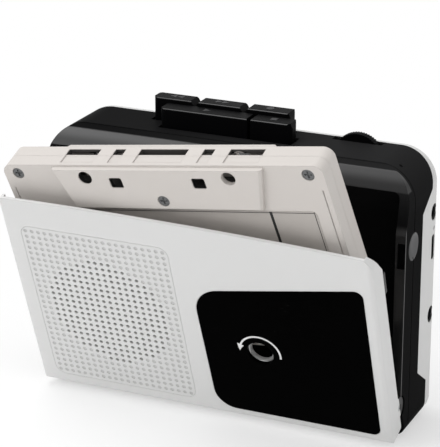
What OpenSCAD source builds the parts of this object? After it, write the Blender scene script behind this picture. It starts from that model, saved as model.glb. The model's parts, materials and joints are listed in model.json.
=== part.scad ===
// Portable cassette player: black middle frame, white rear shell, a drop-forward front door
// with a speaker, and a compact cassette half way into the door.
// X is to the right, Y to the back, Z up. The origin is the middle of the body's foot.
// Sizes are millimetres. In the modules, y is counted from the door seam backwards.

/* [Body] */
// Room at each side of the cassette, wall included
side_room = 6.3; // [6.2:0.1:8]
// Height of the flat top above the seated cassette
head_room = 15.6; // [15.5:0.1:17]
// Depth of the body from the door seam to the flat back
body_d = 28.4; // [28:0.2:33]
// Radius of the two upper corners
top_r = 10.5; // [9:0.5:15]
// Radius of the two lower corners
foot_r = 4.5; // [3.5:0.5:6]
// Wall of the middle frame and of the rear shell's sides
side_wall = 3; // [2.6:0.1:3.2]
// Wall across the back
back_wall = 2; // [1.6:0.1:2.2]
// Floor of the middle frame
floor_t = 1.6; // [1.2:0.1:1.8]
// Round of the rear edges
back_r = 3; // [2:0.5:4]
// Depth of the white band round the back
band_d = 6.2; // [5.6:0.2:7]
// Depth of the white band across the top
band_top_d = 3.8; // [3.6:0.1:4.2]
// Depth of the white panel with the sockets
panel_d = 14; // [13:0.5:15]
// Lower end of the socket panel
panel_z0 = 16.6; // [15:0.2:20]
// Depth of the socket panel's upper end below the flat top
panel_drop = 16.3; // [15.5:0.1:16.5]
// Height of the slanted ends of the socket panel
panel_slant = 6; // [5:0.5:7]
// Depth of the facet in front of the flat top
facet_y = 7; // [6.4:0.2:8]
// Set-back of the upper lip behind the seam
lip_y = 2.8; // [2.6:0.1:3.4]
// Height of the upper lip's face below the flat top
lip_drop = 6.5; // [6.3:0.1:6.6]
// Wall between the cassette well and the mechanism
deck_t = 1.6; // [1.2:0.1:2]

/* [Door] */
// Depth of the door from its front face to the seam
door_d = 7.8; // [7.4:0.1:8.4]
// Front skin of the door
door_skin = 2; // [1.8:0.1:2.1]
// Side walls of the door
door_wall = 1.8; // [1.6:0.1:2]
// Floor of the door
door_floor = 1.3; // [1.1:0.1:1.4]
// Lower edge of the closed door above the foot
door_z0 = 0.6; // [0.5:0.05:0.8]
// Depth of the closed door's upper edge below the flat top
door_drop = 6.8; // [6.8:0.1:7.6]
// Fall of the arched upper edge towards its right end
door_arch = 2.6; // [1.6:0.1:2.8]
// Height of the slanted foot of the door
toe_h = 4.6; // [4.4:0.1:5.2]
// Depth of the slanted foot of the door
toe_d = 4.3; // [4.1:0.1:4.4]
// Height of the hinge axis above the foot
hinge_z = 11.8; // [11.6:0.1:13]
// Radius of the steel hinge pins
pin_r = 1; // [0.8:0.1:1.2]
// Opening angle in degrees
door_open = 20; // [18:0.5:22]

/* [Grille and lens] */
// Distance between grille holes
pitch = 2.07; // [2:0.01:2.1]
// Radius of a grille hole
hole_r = 0.56; // [0.5:0.02:0.7]
// Grille holes in a row
grille_cols = 22; // [16:2:22]
// Grille holes in a column
grille_rows = 27; // [19:2:27]
// Middle of the grille, sideways
grille_x = -27.6; // [-28.4:0.1:-27.2]
// Middle of the grille above the foot
grille_z = 36.8; // [36:0.1:37.2]
// Thickness of the grille plate
grille_t = 1; // [0.8:0.1:1.2]
// Depth of the blind grille dimples
dimple_t = 0.45; // [0.3:0.05:0.6]
// Radius of the speaker
speaker_r = 19; // [17:0.5:20]
// Left edge of the black lens
lens_x0 = 1.4; // [0.5:0.1:3]
// Height of the lens's lower edge above the door's
lens_foot = 6.7; // [6:0.1:7.4]
// Thickness of the lens
lens_t = 1; // [0.8:0.1:1.1]
// Height of the lens at its left corner
lens_h0 = 45.5; // [42:0.5:48]
// Height of the lens at its right corner
lens_h1 = 53.6; // [50:0.5:55]
// Radius of the round window
window_r = 4; // [3.4:0.1:4.4]

/* [Cassette] */
// Width of the cassette
tape_w = 100.4; // [100:0.1:101]
// Height of the cassette
tape_h = 63.8; // [63.4:0.1:64]
// Thickness of the cassette at its sides
tape_thin = 8.7; // [8.4:0.1:8.8]
// Thickness of the cassette at its head openings
tape_thick = 12; // [11.7:0.1:12.2]
// Height of the thick part
thick_h = 14.2; // [13.6:0.1:14.8]
// Half the distance between the hubs
hub_x = 21.25; // [21:0.05:21.5]
// Height of the hubs above the cassette's straight edge
hub_z = 29.3; // [29:0.1:30]
// Depth of the cassette's bay in front of the seam
tape_room = 4.5; // [4.4:0.1:4.6]
// Sideways place of the seated cassette
tape_x = -2; // [-2.2:0.1:-1.8]
// Rise of the half-way cassette above its seat
tape_rise = 24.7; // [24:0.1:26]
// Sideways drift of the half-way cassette
tape_drift = 1; // [0.9:0.02:1.1]
// Turn of the half-way cassette in degrees
tape_tilt = 9; // [8:0.5:9.5]

/* [Keys and sockets] */
// Height of the front keys above the flat top
front_key_h = 5.9; // [4.5:0.1:6.4]
// Height of the rear keys above the flat top
rear_key_h = 7; // [5.5:0.1:7.4]
// Depth of a front key
front_key_d = 5.9; // [5.5:0.1:6]
// Depth of a rear key
rear_key_d = 5.3; // [5:0.1:5.4]
// Front edge of the front keys behind the seam
key_y = 11.7; // [11.6:0.1:12]
// Gap round a key
key_gap = 0.35; // [0.25:0.05:0.4]
// Radius of the volume wheel
wheel_r = 7.6; // [7:0.1:8]
// Thickness of the volume wheel
wheel_t = 2.4; // [2:0.1:2.6]
// Sideways place of the volume wheel
wheel_x = 33.5; // [32:0.5:35]
// How far the wheel stands out of the flat top
wheel_out = 2.4; // [2:0.1:3]
// Radius of the mouth of a plug socket
mouth_r = 2.5; // [2.3:0.1:2.7]
// Radius of the bore that takes a plug
plug_r = 1.8; // [1.75:0.01:1.85]
// Depth of the headphone socket below the flat top
phone_drop = 18.6; // [18:0.1:19.4]
// Depth of the charging socket below the flat top
usb_drop = 29.3; // [28:0.1:30.5]
// Depth of the line socket below the flat top
line_drop = 50.2; // [48.5:0.1:52]

/* [Mechanism] */
// Radius of the flywheel
fly_r = 10; // [9:0.5:10.5]
// Radius of the motor pulley
pulley_r = 2.5; // [2:0.1:3]
// Radius of the motor
motor_r = 11; // [10:0.5:12]
// Radius of the capstan
capstan_r = 1; // [0.8:0.05:1.2]
// Radius of the flywheel's friction boss
boss_r = 4; // [3.6:0.1:4.4]
// Radius of the take-up wheel
takeup_r = 9.5; // [9:0.1:9.8]
// Radius of a battery cell
cell_r = 7.1; // [6.9:0.1:7.15]
// Length of a battery cell
cell_l = 50; // [49.5:0.1:50.2]

/* [Hidden] */
$fn = 64;

black = "#1b1c1e";
white = "#e9e9e6";
steel = "#a9adb2";
cream = "#d6cfc6";
brown = "#4a3426";

// Clearances
seam_gap = 0.3;
run_gap = 0.05;
slip = 0.3;
belt_gap = 0.25;
touch = 0.02;
over = 1;

// Body and well: as wide and as high as the cassette and the two cells need
tape_gap = 0.3;
tape_z = door_z0 + door_floor + tape_gap;
cell_gap = 0.6;
contact_room = 2.9;
half_w = max(tape_w / 2 + side_room, cell_l + cell_gap + contact_room + side_wall);
body_w = 2 * half_w;
body_h = tape_z + tape_h + head_room;
panel_z1 = body_h - panel_drop;
door_top = body_h - door_drop;
phone_z = body_h - phone_drop;
usb_z = body_h - usb_drop;
line_z = body_h - line_drop;
well_x = half_w - side_wall;
lip_z = body_h - lip_drop;
facet_drop = 1.5;
scoop_r = 7.6;
scoop_in = 1;
scoop_y = 6.8;
scoop_drop = 23.2;
facet_run = 1.6;
rim_z = body_h - 18;
foot_back = hinge_z * tan(door_open + 4) + 0.6;
band_y = body_d - band_d;
band_top_y = body_d - band_top_d;
panel_y = body_d - panel_d;
inner_back = body_d - back_wall;
ceiling_z = body_h - side_wall;

// Door, closed
door_x = half_w - seam_gap;
door_in_x = door_x - door_wall;
skin_y = door_d - door_skin;
lead_in = door_skin / 2;
toe_wall = 1.5;
toe_in_y = -door_d + toe_d + toe_wall * norm([toe_d, toe_h]) / toe_h;
knuckle_r = 3.2;
lug_r = 2.8;
lug_x0 = well_x - 0.5;
lug_x1 = door_in_x - 0.2;
latch_z = body_h - 27.6;
latch_h = 7;

// Cassette, seated in the closed door
tape_half = tape_w / 2;
tape_mid = -tape_room + tape_gap + tape_thick / 2;
thin_back = tape_mid + tape_thin / 2;
thick_back = tape_mid + tape_thick / 2;
thick_x = 33;
thick_x_low = 29.5;
// The half-way pose is one turn about a far pole, worked out from the rise, drift and tilt
pole_k = -(tape_drift * sin(tape_tilt) + tape_rise * (1 - cos(tape_tilt))) / (2 * (1 - cos(tape_tilt)));
pole_d = (tape_rise + pole_k * (1 - cos(tape_tilt))) / sin(tape_tilt);
pole_x = tape_x - pole_d;
pole_z = tape_z + tape_h / 2 - pole_k;
echo(pole_x = pole_x, pole_z = pole_z);

// Mechanism, from the deck backwards
deck_gap = 1.8;
deck_y = thick_back + deck_gap;
deck_back = deck_y + deck_t;
drive_y = deck_back + 0.8;
drive_t = 3.5;
friction_y = drive_y + drive_t + 0.4;
friction_t = 1.3;
chassis_y = friction_y + friction_t + 0.6;
chassis_t = 1;
rear_y = chassis_y + chassis_t;
reel_z = tape_z + hub_z;
takeup_x = tape_x + hub_x;
supply_x = tape_x - hub_x;
capstan_hole_x = 22.5;
capstan_hole_r = 2.1;
capstan_drop = 3.2;
capstan_x = tape_x + capstan_hole_x;
capstan_z = tape_z + tape_h - capstan_drop;
motor_in = 28.5;
motor_x = motor_in - half_w;
motor_z = body_h - 23.8;
belt_t = 1;
belt_w = 1;
belt_steps = 24;
groove_d = 0.6;
groove_h = belt_w + 0.4;
groove_y = drive_y + 0.7;
belt_y = groove_y + 0.2;
fly_seat = fly_r - groove_d + belt_gap;
pulley_seat = pulley_r - groove_d + belt_gap;
shaft_r = 1.2;
friction_gap = 0.3;
drive_len = norm([takeup_x - capstan_x, reel_z - capstan_z]);
idler_r = (drive_len - boss_r - takeup_r) / 2 - friction_gap;
idler_at = (boss_r + friction_gap + idler_r) / drive_len;
idler_x = capstan_x + (takeup_x - capstan_x) * idler_at;
idler_z = capstan_z + (reel_z - capstan_z) * idler_at;
nose_in = 0.7;
nose_r = 1.2;
nose_l = 1.6;
barrel_r = 3;
fin_r = 4;
post_r = 3;
post_x = well_x - 6;
post_z = [tape_z + 31, motor_z - 1];
chassis_z1 = body_h - 9.4;
screw_r = 0.8;
screw_head_r = 1.7;
screw_head_t = 0.9;

// Batteries
cell_z = side_wall + 0.4 + cell_r;
cell_y = inner_back - 0.2 - cell_r;
tray_z = cell_z + cell_r + 0.4;
tray_t = 1;
contact_half = cell_r - 2.1;
contact_t = 0.5;

// Keys
key_clear = 3;
key_travel = 3;
key_foot = 2.6;
rear_key_y = key_y + front_key_d + 0.5;
stem_w = 3;
stem_d = 2.4;
stem_z = ceiling_z - 6;
bracket_z = ceiling_z - 5;
bracket_t = 0.8;
bracket_x0 = -31;
bracket_x1 = 21;
bracket_y0 = key_y + 1.6;
bracket_y1 = rear_key_y + rear_key_d;
front_stem_y = key_y + front_key_d / 2 + 1;
rear_stem_y = rear_key_y + rear_key_d / 2;
spring_r = 2.3;
spring_t = 0.3;
play_x = [-24.3, 3.6];
stop_x = [4.4, 17];
rewind_x = [-29.6, -16.2];
forward_x = [-15.6, -0.6];
record_x = [0, 14];
stop_stem_x = 6.4;

// Sockets and board
board_t = 1.6;
board_gap = 1.4;
ridge_r = 0.28;
collar_foot = 0.5;
port_y = inner_back - 2.1;
board_y = port_y - 2;
board_x0 = takeup_x - 2;
board_z0 = tray_z + tray_t + 9;
board_z1 = phone_z + 3.6;
socket_l = 11;
collar_in = 0.4;
usb_w = 7.6;
usb_t = 2.6;
wheel_y = band_top_y - wheel_t / 2 - 0.3;
wheel_z = body_h + wheel_out - wheel_r;
mic_along = 5;
mic_x = half_w - top_r + mic_along;
mic_z = body_h - top_r + sqrt(top_r * top_r - mic_along * mic_along);
mic_y = 10.2;
mic_r = 0.6;
mic_in = 4.5;
mic_cap_r = 1.9;
mic_t = 2.6;

// Heads and their carriage
head_z = tape_z + tape_h + 3.2;
head_y0 = thick_back + 0.3;
plate_y = deck_back + 0.15;
plate_t = 0.4;
plate_top = body_h - key_foot - key_travel - 0.5;
play_half = 6;
play_h = 5;
erase_x = [tape_x - 15.4, tape_x - 9];
roller_x = capstan_x + 4;
plate_x0 = erase_x[0] + 0.4;
plate_x1 = roller_x + 5.5;
tab_w = 4;
tab_t = 0.8;
rivet_x = [tape_x + play_half + 4, tape_x + play_half + 10];
rivet_r = 1;
roller_r = 2.6;
roller_z = head_z + roller_r + 0.3;

module at_mic() translate([mic_x, mic_y, mic_z]) rotate([0, 40, 0]) children();
module from_seam() translate([0, -body_d / 2, 0]) children();
module in_door() from_seam() translate([0, 0, hinge_z]) rotate([door_open, 0, 0])
  translate([0, 0, -hinge_z]) children();
module in_cassette() in_door() translate([pole_x, 0, pole_z]) rotate([0, -tape_tilt, 0])
  translate([tape_x - pole_x, tape_mid, tape_z - pole_z]) children();
module along_y(y0, y1) translate([0, y1, 0]) rotate([90, 0, 0]) linear_extrude(y1 - y0) children();
module along_x(x0, x1) translate([x0, 0, 0]) rotate([90, 0, 90]) linear_extrude(x1 - x0) children();
module rod_y(x, z, r, y0, y1) translate([x, y1, z]) rotate([90, 0, 0]) cylinder(r = r, h = y1 - y0);
module rod_x(y, z, r, x0, x1) translate([x0, y, z]) rotate([0, 90, 0]) cylinder(r = r, h = x1 - x0);
module both_sides() for (a = [0, 180]) rotate([0, 0, a]) children();
module block(x0, x1, y0, y1, z0, z1) translate([x0, y0, z0]) cube([x1 - x0, y1 - y0, z1 - z0]);

// A rectangle from two corners, with separate radii for its lower and upper corners
module soft_rect(x0, z0, x1, z1, rb, rt) {
  r = max(rb, rt);
  translate([x0 + r, z0]) square([x1 - x0 - 2 * r, z1 - z0]);
  translate([x0, z0 + rb]) square([x1 - x0, z1 - z0 - rb - rt]);
  if (rb < r) translate([x0 + rb, z0]) square([x1 - x0 - 2 * rb, z1 - z0 - rt]);
  if (rt < r) translate([x0 + rt, z0 + rb]) square([x1 - x0 - 2 * rt, z1 - z0 - rb]);
  for (x = [x0 + rb, x1 - rb]) translate([x, z0 + rb]) circle(rb);
  for (x = [x0 + rt, x1 - rt]) translate([x, z1 - rt]) circle(rt);
}

// Outline of the body seen from the front, drawn in by an inset
module body_outline(inset) {
  soft_rect(-half_w + inset, inset, half_w - inset, body_h - inset, max(foot_r - inset, 0.6), top_r - inset);
}

// Outline of the cassette well
module well_outline() soft_rect(-well_x, floor_t, well_x, lip_z, foot_r / 2, 2);

// Side view of what lies in front of the joint between the frame and the rear shell
module front_region() polygon([
  [-over, -over], [band_y, -over], [band_y, panel_z1 + panel_slant],
  [band_top_y, body_h], [band_top_y, body_h + over], [-over, body_h + over]
]);
module panel_region() polygon([
  [panel_y, panel_z0], [band_y + over, panel_z0 - panel_slant], [body_d + over, panel_z0 - panel_slant],
  [body_d + over, panel_z1 + panel_slant], [band_y + over, panel_z1 + panel_slant], [panel_y, panel_z1]
]);

// Front keys share one opening in the top, and so do the rear keys
module key_openings(z0, z1) {
  block(play_x[0] - key_gap, stop_x[1] + key_gap, key_y - key_gap, rear_key_y, z0, z1);
  block(rewind_x[0] - key_gap, record_x[1] + key_gap, rear_key_y - over / 2,
    rear_key_y + rear_key_d + key_gap, z0, z1);
}

module wheel_slot() block(
  wheel_x - wheel_r, wheel_x + wheel_r, wheel_y - wheel_t / 2 - slip, wheel_y + wheel_t / 2 + slip,
  wheel_z, body_h + over
);

module mid_frame() color(black) from_seam() difference() {
  union() {
    difference() {
      intersection() {
        along_y(0, band_top_y) body_outline(0);
        along_x(-half_w - over, half_w + over) front_region();
      }
      along_y(-over, deck_y) well_outline();
      along_y(deck_back, body_d) body_outline(side_wall);
      along_x(well_x, half_w + over) panel_region();
      along_x(-body_w, body_w) polygon([
        [-over, rim_z], [0, rim_z], [lip_y, lip_z], [facet_y - facet_run, body_h - facet_drop],
        [facet_y, body_h], [facet_y, body_h + over], [-over, body_h + over]
      ]);
      along_x(-body_w, body_w)
        polygon([[-over, hinge_z], [0, hinge_z], [foot_back, 0], [foot_back, -over], [-over, -over]]);
    }
    both_sides() rod_x(0, hinge_z, lug_r, lug_x0, lug_x1);
    for (x = [-post_x, post_x], z = post_z) rod_y(x, z, post_r, deck_back - over / 2, chassis_y);
  }
  both_sides() rod_x(0, hinge_z, knuckle_r + slip, lug_x1, half_w + over);
  both_sides() rod_x(0, hinge_z, pin_r, lug_x0 - over, lug_x1 + over);
  for (x = [-post_x, post_x], z = post_z) rod_y(x, z, screw_r, deck_back + screw_r, chassis_y + over);
  key_openings(ceiling_z - over, body_h + over);
  wheel_slot();
  for (x = [takeup_x, supply_x]) rod_y(x, reel_z, fin_r + 0.8, 0, deck_back + over);
  rod_y(capstan_x, capstan_z, capstan_r + 0.8, 0, deck_back + over);
  block(plate_x0 - 1.4, plate_x1 + 2, deck_y - over, deck_back + over, tape_z + tape_h - 0.4, lip_z - touch);
  block(door_in_x - slip, door_x + seam_gap / 2, -over, 2.2, latch_z - slip, latch_z + latch_h + slip);
  at_mic() translate([0, 0, -mic_in]) cylinder(r = mic_r, h = 2 * mic_in);
  at_mic() translate([0, 0, -mic_in - mic_t]) cylinder(r = mic_cap_r + 0.1, h = mic_t);
  at_mic() translate([-mic_cap_r - 0.1, 0, -mic_in - mic_t]) cube([2 * mic_cap_r + 0.2, 4, mic_t]);
  translate([half_w + scoop_r - scoop_in, scoop_y, body_h - scoop_drop]) sphere(r = scoop_r);
  along_y(facet_y - 0.2, facet_y + 0.25) difference() {
    body_outline(-over);
    body_outline(0.3);
  }
}

// The body's outer form with rounded rear edges
module rounded_block() hull() {
  along_y(panel_y - over, body_d - back_r) body_outline(0);
  for (a = [22.5, 45, 67.5, 90]) {
    along_y(body_d - back_r, body_d - back_r + back_r * sin(a)) body_outline(back_r * (1 - cos(a)));
  }
}

cover_z0 = side_wall + 1.2;
cover_z1 = tray_z - 0.6;
cover_x = half_w - foot_r - 2;
rear_screw_x = half_w - 11;
rear_screw_z = [tray_z + tray_t + 4, chassis_z1 - 3];

module rear_shell() color(white) from_seam() difference() {
  union() {
    difference() {
      intersection() {
        rounded_block();
        union() {
          difference() {
            along_x(-half_w - over, half_w + over) translate([-over, -over])
              square([body_d + 2 * over, body_h + 2 * over]);
            along_x(-body_w, body_w) front_region();
          }
          along_x(well_x, half_w + over) panel_region();
        }
      }
      along_y(-over, inner_back) body_outline(side_wall);
    }
    for (x = [-rear_screw_x, rear_screw_x], z = rear_screw_z)
      rod_y(x, z, post_r, rear_y, inner_back + over / 2);
  }
  along_y(inner_back - over, body_d + over)
    soft_rect(-cover_x - 0.1, cover_z0 - 0.1, cover_x + 0.1, cover_z1 + 0.1, 2, 2);
  for (z = [phone_z, line_z]) rod_x(port_y, z, mouth_r, well_x - over, half_w + over);
  along_x(well_x - over, half_w + over) usb_mouth(0, 1);
  rod_x(port_y + 0.4, (phone_z + usb_z) / 2 + 0.4, mic_r, well_x - over, half_w + over);
  for (x = [-rear_screw_x, rear_screw_x], z = rear_screw_z) {
    rod_y(x, z, screw_r, rear_y, body_d + over);
    rod_y(x, z, screw_head_r + 0.1, body_d - 1.6, body_d + over);
  }
  wheel_slot();
}

module battery_cover() color(white) from_seam() difference() {
  union() {
    along_y(inner_back, body_d) soft_rect(-cover_x, cover_z0, cover_x, cover_z1, 2, 2);
    for (x = [-cover_x + 12, cover_x - 20]) {
      block(x, x + 8, inner_back - 0.8, inner_back, cover_z1 - 1, tray_z - 0.1);
      block(x, x + 8, inner_back - 0.8, inner_back, cover_z0 - 0.9, cover_z0 + 1);
    }
  }
  for (i = [-3:3])
    block(cover_x - 15 + i * 1.6, cover_x - 14.2 + i * 1.6, body_d - 0.5, body_d + over,
      cover_z0 + 3, cover_z1 - 3);
}

module battery_tray() color(black) from_seam() {
  block(-well_x + slip, well_x - slip, deck_back, inner_back - 0.1, tray_z, tray_z + tray_t);
  for (s = [-1, 1]) block(
    min(s * (well_x - 0.1), s * (well_x - 1)), max(s * (well_x - 0.1), s * (well_x - 1)),
    deck_back, inner_back - 0.1, side_wall + 1.4, tray_z + tray_t
  );
}

module battery_cells() color("#3d6b4f") from_seam() for (x0 = [-cell_l - cell_gap, cell_gap]) {
  rod_x(cell_y, cell_z, cell_r, x0, x0 + cell_l - 1.2);
  rod_x(cell_y, cell_z, 2.7, x0 + cell_l - 1.3, x0 + cell_l);
}

module battery_contacts() color(steel) from_seam() {
  block(-well_x + 1, -well_x + 1 + contact_t,
    cell_y - contact_half, cell_y + contact_half, cell_z - contact_half, cell_z + contact_half);
  rod_x(cell_y, cell_z, 3, -well_x + 1 + contact_t, -cell_l - cell_gap);
  block(well_x - 1 - contact_t, well_x - 1,
    cell_y - contact_half, cell_y + contact_half, cell_z - contact_half, cell_z + contact_half);
  rod_x(cell_y, cell_z, 2, cell_l + cell_gap, well_x - 1 - contact_t);
  rod_x(cell_y, cell_z, 2, -cell_gap, cell_gap);
}

module screw_at(x, z, y_head, y_tip) {
  rod_y(x, z, screw_r, y_tip, y_head);
  difference() {
    rod_y(x, z, screw_head_r, y_head - screw_head_t, y_head);
    for (a = [0, 90]) translate([x, y_head, z]) rotate([0, a, 0]) cube([2, 0.8, 0.5], center = true);
  }
}

module rear_screws() color(steel) from_seam() for (x = [-rear_screw_x, rear_screw_x], z = rear_screw_z)
  screw_at(x, z, body_d - 1.6 + screw_head_t, chassis_y);

module hinge_pins() color(steel) from_seam() both_sides()
  rod_x(0, hinge_z, pin_r, lug_x0 + 0.1, door_x - 0.2);

module chassis_plate() color(steel) from_seam() difference() {
  along_y(chassis_y, chassis_y + chassis_t)
    soft_rect(-post_x - 4, tray_z + tray_t, post_x + 4, chassis_z1, 2, 4);
  for (x = [-post_x, post_x], z = post_z) rod_y(x, z, screw_r, chassis_y - over, rear_y + over);
  for (x = [-rear_screw_x, rear_screw_x], z = rear_screw_z)
    rod_y(x, z, screw_r, chassis_y - over, rear_y + over);
  for (x = [takeup_x, supply_x]) rod_y(x, reel_z, shaft_r + run_gap, chassis_y - over, rear_y + over);
  rod_y(capstan_x, capstan_z, capstan_r + run_gap, chassis_y - over, rear_y + over);
  rod_y(idler_x, idler_z, shaft_r + run_gap, chassis_y - over, rear_y + over);
  rod_y(motor_x, motor_z, pulley_r + 1, chassis_y - over, rear_y + over);
}

module chassis_screws() color(steel) from_seam() for (x = [-post_x, post_x], z = post_z)
  screw_at(x, z, rear_y + screw_head_t, deck_back + screw_r);

module drive_motor() color(steel) from_seam() difference() {
  union() {
    rod_y(motor_x, motor_z, motor_r, rear_y, inner_back - 0.8);
    rod_y(motor_x, motor_z, 3, chassis_y + 0.1, rear_y);
  }
  rod_y(motor_x, motor_z, 0.8 + run_gap, chassis_y - over, rear_y + 2);
}

// Points of an arc about a wheel's axis
function arc(x, z, r, from, to) = [
  for (i = [0:belt_steps]) let (a = from + (to - from) * i / belt_steps) [x + r * cos(a), z + r * sin(a)]
];

// Outline of a belt round two wheels: two arcs joined by their outer tangents
module belt_outline(r1, r2) {
  run = [motor_x - capstan_x, motor_z - capstan_z];
  turn = atan2(run[1], run[0]);
  lean = acos((r1 - r2) / norm(run));
  polygon(concat(
    arc(capstan_x, capstan_z, r1, turn + lean, turn + 360 - lean),
    arc(motor_x, motor_z, r2, turn - lean, turn + lean)
  ));
}

module drive_belt() color("#26201c") from_seam() along_y(belt_y, belt_y + belt_w) difference() {
  belt_outline(fly_seat + belt_t, pulley_seat + belt_t);
  belt_outline(fly_seat, pulley_seat);
}

module grooved_wheel(x, z, r) difference() {
  rod_y(x, z, r, drive_y, drive_y + drive_t);
  translate([x, 0, z]) rotate([90, 0, 0]) translate([0, 0, -groove_y - groove_h]) rotate_extrude()
    translate([r - groove_d, 0]) square([over, groove_h]);
}

module motor_pulley() color("#b08d48") from_seam() union() {
  grooved_wheel(motor_x, motor_z, pulley_r);
  rod_y(motor_x, motor_z, 0.8, drive_y + drive_t - 0.5, rear_y + 1.6);
}

module flywheel() color(steel) from_seam() difference() {
  union() {
    grooved_wheel(capstan_x, capstan_z, fly_r);
    rod_y(capstan_x, capstan_z, boss_r, drive_y + drive_t - 0.5, friction_y + friction_t);
  }
  rod_y(capstan_x, capstan_z, capstan_r, drive_y - over, chassis_y + over);
  for (a = [0:60:300])
    rod_y(capstan_x + 6.8 * cos(a), capstan_z + 6.8 * sin(a), 1.3, drive_y - over, chassis_y + over);
}

module capstan() color("#c9ccd0") from_seam()
  rod_y(capstan_x, capstan_z, capstan_r, thick_back - 0.8, rear_y + 1.2);

module idler_wheel() color("#33302d") from_seam() union() {
  rod_y(idler_x, idler_z, idler_r, friction_y, friction_y + friction_t);
  rod_y(idler_x, idler_z, shaft_r, friction_y, rear_y + 1.2);
}

module take_up_wheel() color(white) from_seam() difference() {
  rod_y(takeup_x, reel_z, takeup_r, friction_y, friction_y + friction_t);
  rod_y(takeup_x, reel_z, shaft_r, friction_y - over, chassis_y + over);
}

module brake_disc() color(white) from_seam() difference() {
  rod_y(supply_x, reel_z, takeup_r, friction_y, friction_y + friction_t);
  rod_y(supply_x, reel_z, shaft_r, friction_y - over, chassis_y + over);
}

// A reel spindle: a tapered nose, a barrel with three fins and a shaft in the chassis
module spindle(x) {
  tip = thin_back - nose_in;
  translate([x, tip, reel_z]) rotate([-90, 0, 0]) cylinder(r1 = nose_r, r2 = barrel_r, h = nose_l);
  rod_y(x, reel_z, barrel_r, tip + nose_l, friction_y - 0.4);
  for (a = [0, 120, 240]) translate([x, 0, reel_z]) rotate([0, a, 0])
    block(0, fin_r, thin_back + 0.6, deck_back, -0.5, 0.5);
  rod_y(x, reel_z, fin_r + 2.4, drive_y, drive_y + 1.2);
  rod_y(x, reel_z, shaft_r, friction_y - 0.5, rear_y + 1.2);
}

module take_up_spindle() color("#2a2b2e") from_seam() spindle(takeup_x);
module supply_spindle() color("#2a2b2e") from_seam() spindle(supply_x);

module head_plate() color(steel) from_seam() difference() {
  union() {
    block(plate_x0, plate_x1, plate_y, plate_y + plate_t, head_z - 0.6, plate_top);
    block(middle(play_x) - tab_w / 2, middle(play_x) + tab_w / 2, plate_y, front_stem_y + stem_d / 2,
      stem_z - run_gap - tab_t, stem_z - run_gap);
  }
  for (x = rivet_x) rod_y(x, (head_z + plate_top) / 2, rivet_r, plate_y - over, plate_y + over);
}

module play_head() color("#c3c6ca") from_seam() difference() {
  block(tape_x - play_half, tape_x + play_half, head_y0, plate_y, head_z, head_z + play_h);
  for (y = [head_y0 + 0.9, head_y0 + 2]) block(
    tape_x - play_half - over, tape_x + play_half + over, y, y + 0.3, head_z - over, head_z + 0.4
  );
}

module erase_head() color("#5c5f63") from_seam() block(
  erase_x[0], erase_x[1], head_y0, plate_y, head_z + 0.3, head_z + play_h - 0.6
);

module roller_arm() color(steel) from_seam() union() {
  block(roller_x - 5.4, roller_x + 1.4, plate_y - 0.8, plate_y, roller_z - 1.4, roller_z + 1.4);
  rod_y(roller_x, roller_z, 0.7, head_y0 + 0.2, plate_y - 0.4);
}

module pinch_roller() color("#2b2725") from_seam() difference() {
  rod_y(roller_x, roller_z, roller_r, head_y0 + 0.2, plate_y - 1);
  rod_y(roller_x, roller_z, 0.7 + run_gap, head_y0 - over, plate_y);
}

module circuit_board() color("#2f6a45") from_seam() difference() {
  block(board_x0, well_x - board_gap, board_y - board_t, board_y, board_z0, board_z1);
  rod_y(board_x0 + 4, board_z0 + 4, 1.2, board_y - 2 * board_t, board_y + over);
  rod_y(rear_screw_x, rear_screw_z[1], post_r + slip, board_y - 2 * board_t, board_y + over);
}

module plug_socket(z) difference() {
  union() {
    block(well_x - socket_l, well_x, board_y, port_y + 2, z - 3, z + 3);
    rod_x(port_y, z, mouth_r - 0.1, well_x - collar_foot, half_w - collar_in);
  }
  rod_x(port_y, z, plug_r, well_x - socket_l + 1, half_w + over);
}

module headphone_socket() color(black) from_seam() plug_socket(phone_z);
module line_socket() color(black) from_seam() plug_socket(line_z);

// The charging socket's mouth, drawn in from its full size
module usb_mouth(inset, r)
  soft_rect(port_y - usb_t / 2 + inset, usb_z - usb_w / 2 + inset,
    port_y + usb_t / 2 - inset, usb_z + usb_w / 2 - inset, r, r);

module charging_socket() color(steel) from_seam() union() {
  difference() {
    along_x(well_x - 7, well_x + 1.6) usb_mouth(0.15, 0.9);
    along_x(well_x - 5, well_x + 2) usb_mouth(0.4, 0.6);
  }
  block(well_x - 5.5, well_x + 0.4, port_y - 0.3, port_y + 0.3,
    usb_z - usb_w / 2 + 1.3, usb_z + usb_w / 2 - 1.3);
}

module microphone() color(steel) from_seam() at_mic() translate([0, 0, -mic_in - mic_t])
  cylinder(r = mic_cap_r, h = mic_t);

module volume_control() color(black) from_seam() union() {
  block(wheel_x - 4.5, wheel_x + 4.5, board_y - board_t, wheel_y - wheel_t / 2 - slip,
    board_z1, ceiling_z - 0.2);
  rod_y(wheel_x, wheel_z, 1.2, wheel_y - wheel_t / 2 - over, wheel_y + wheel_t / 2);
}

module volume_wheel() color(black) from_seam()
  along_y(wheel_y - wheel_t / 2, wheel_y + wheel_t / 2) translate([wheel_x, wheel_z])
    difference() {
      circle(wheel_r);
      for (a = [0:6:354]) rotate(a) translate([wheel_r + 0.08, 0]) circle(ridge_r);
      circle(1.2 + run_gap);
    }

module key_bracket() color(steel) from_seam() difference() {
  union() {
    block(bracket_x0, bracket_x1, bracket_y0, bracket_y1, bracket_z, bracket_z + bracket_t);
    for (x = [bracket_x0, bracket_x1 - bracket_t])
      block(x, x + bracket_t, bracket_y0, bracket_y1, bracket_z, ceiling_z);
  }
  for (k = key_stems) block(
    k[0] - stem_w / 2 - 0.15, k[0] + stem_w / 2 + 0.15, k[1] - stem_d / 2 - 0.15, k[1] + stem_d / 2 + 0.15,
    bracket_z - over, bracket_z + 2 * bracket_t
  );
}

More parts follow.
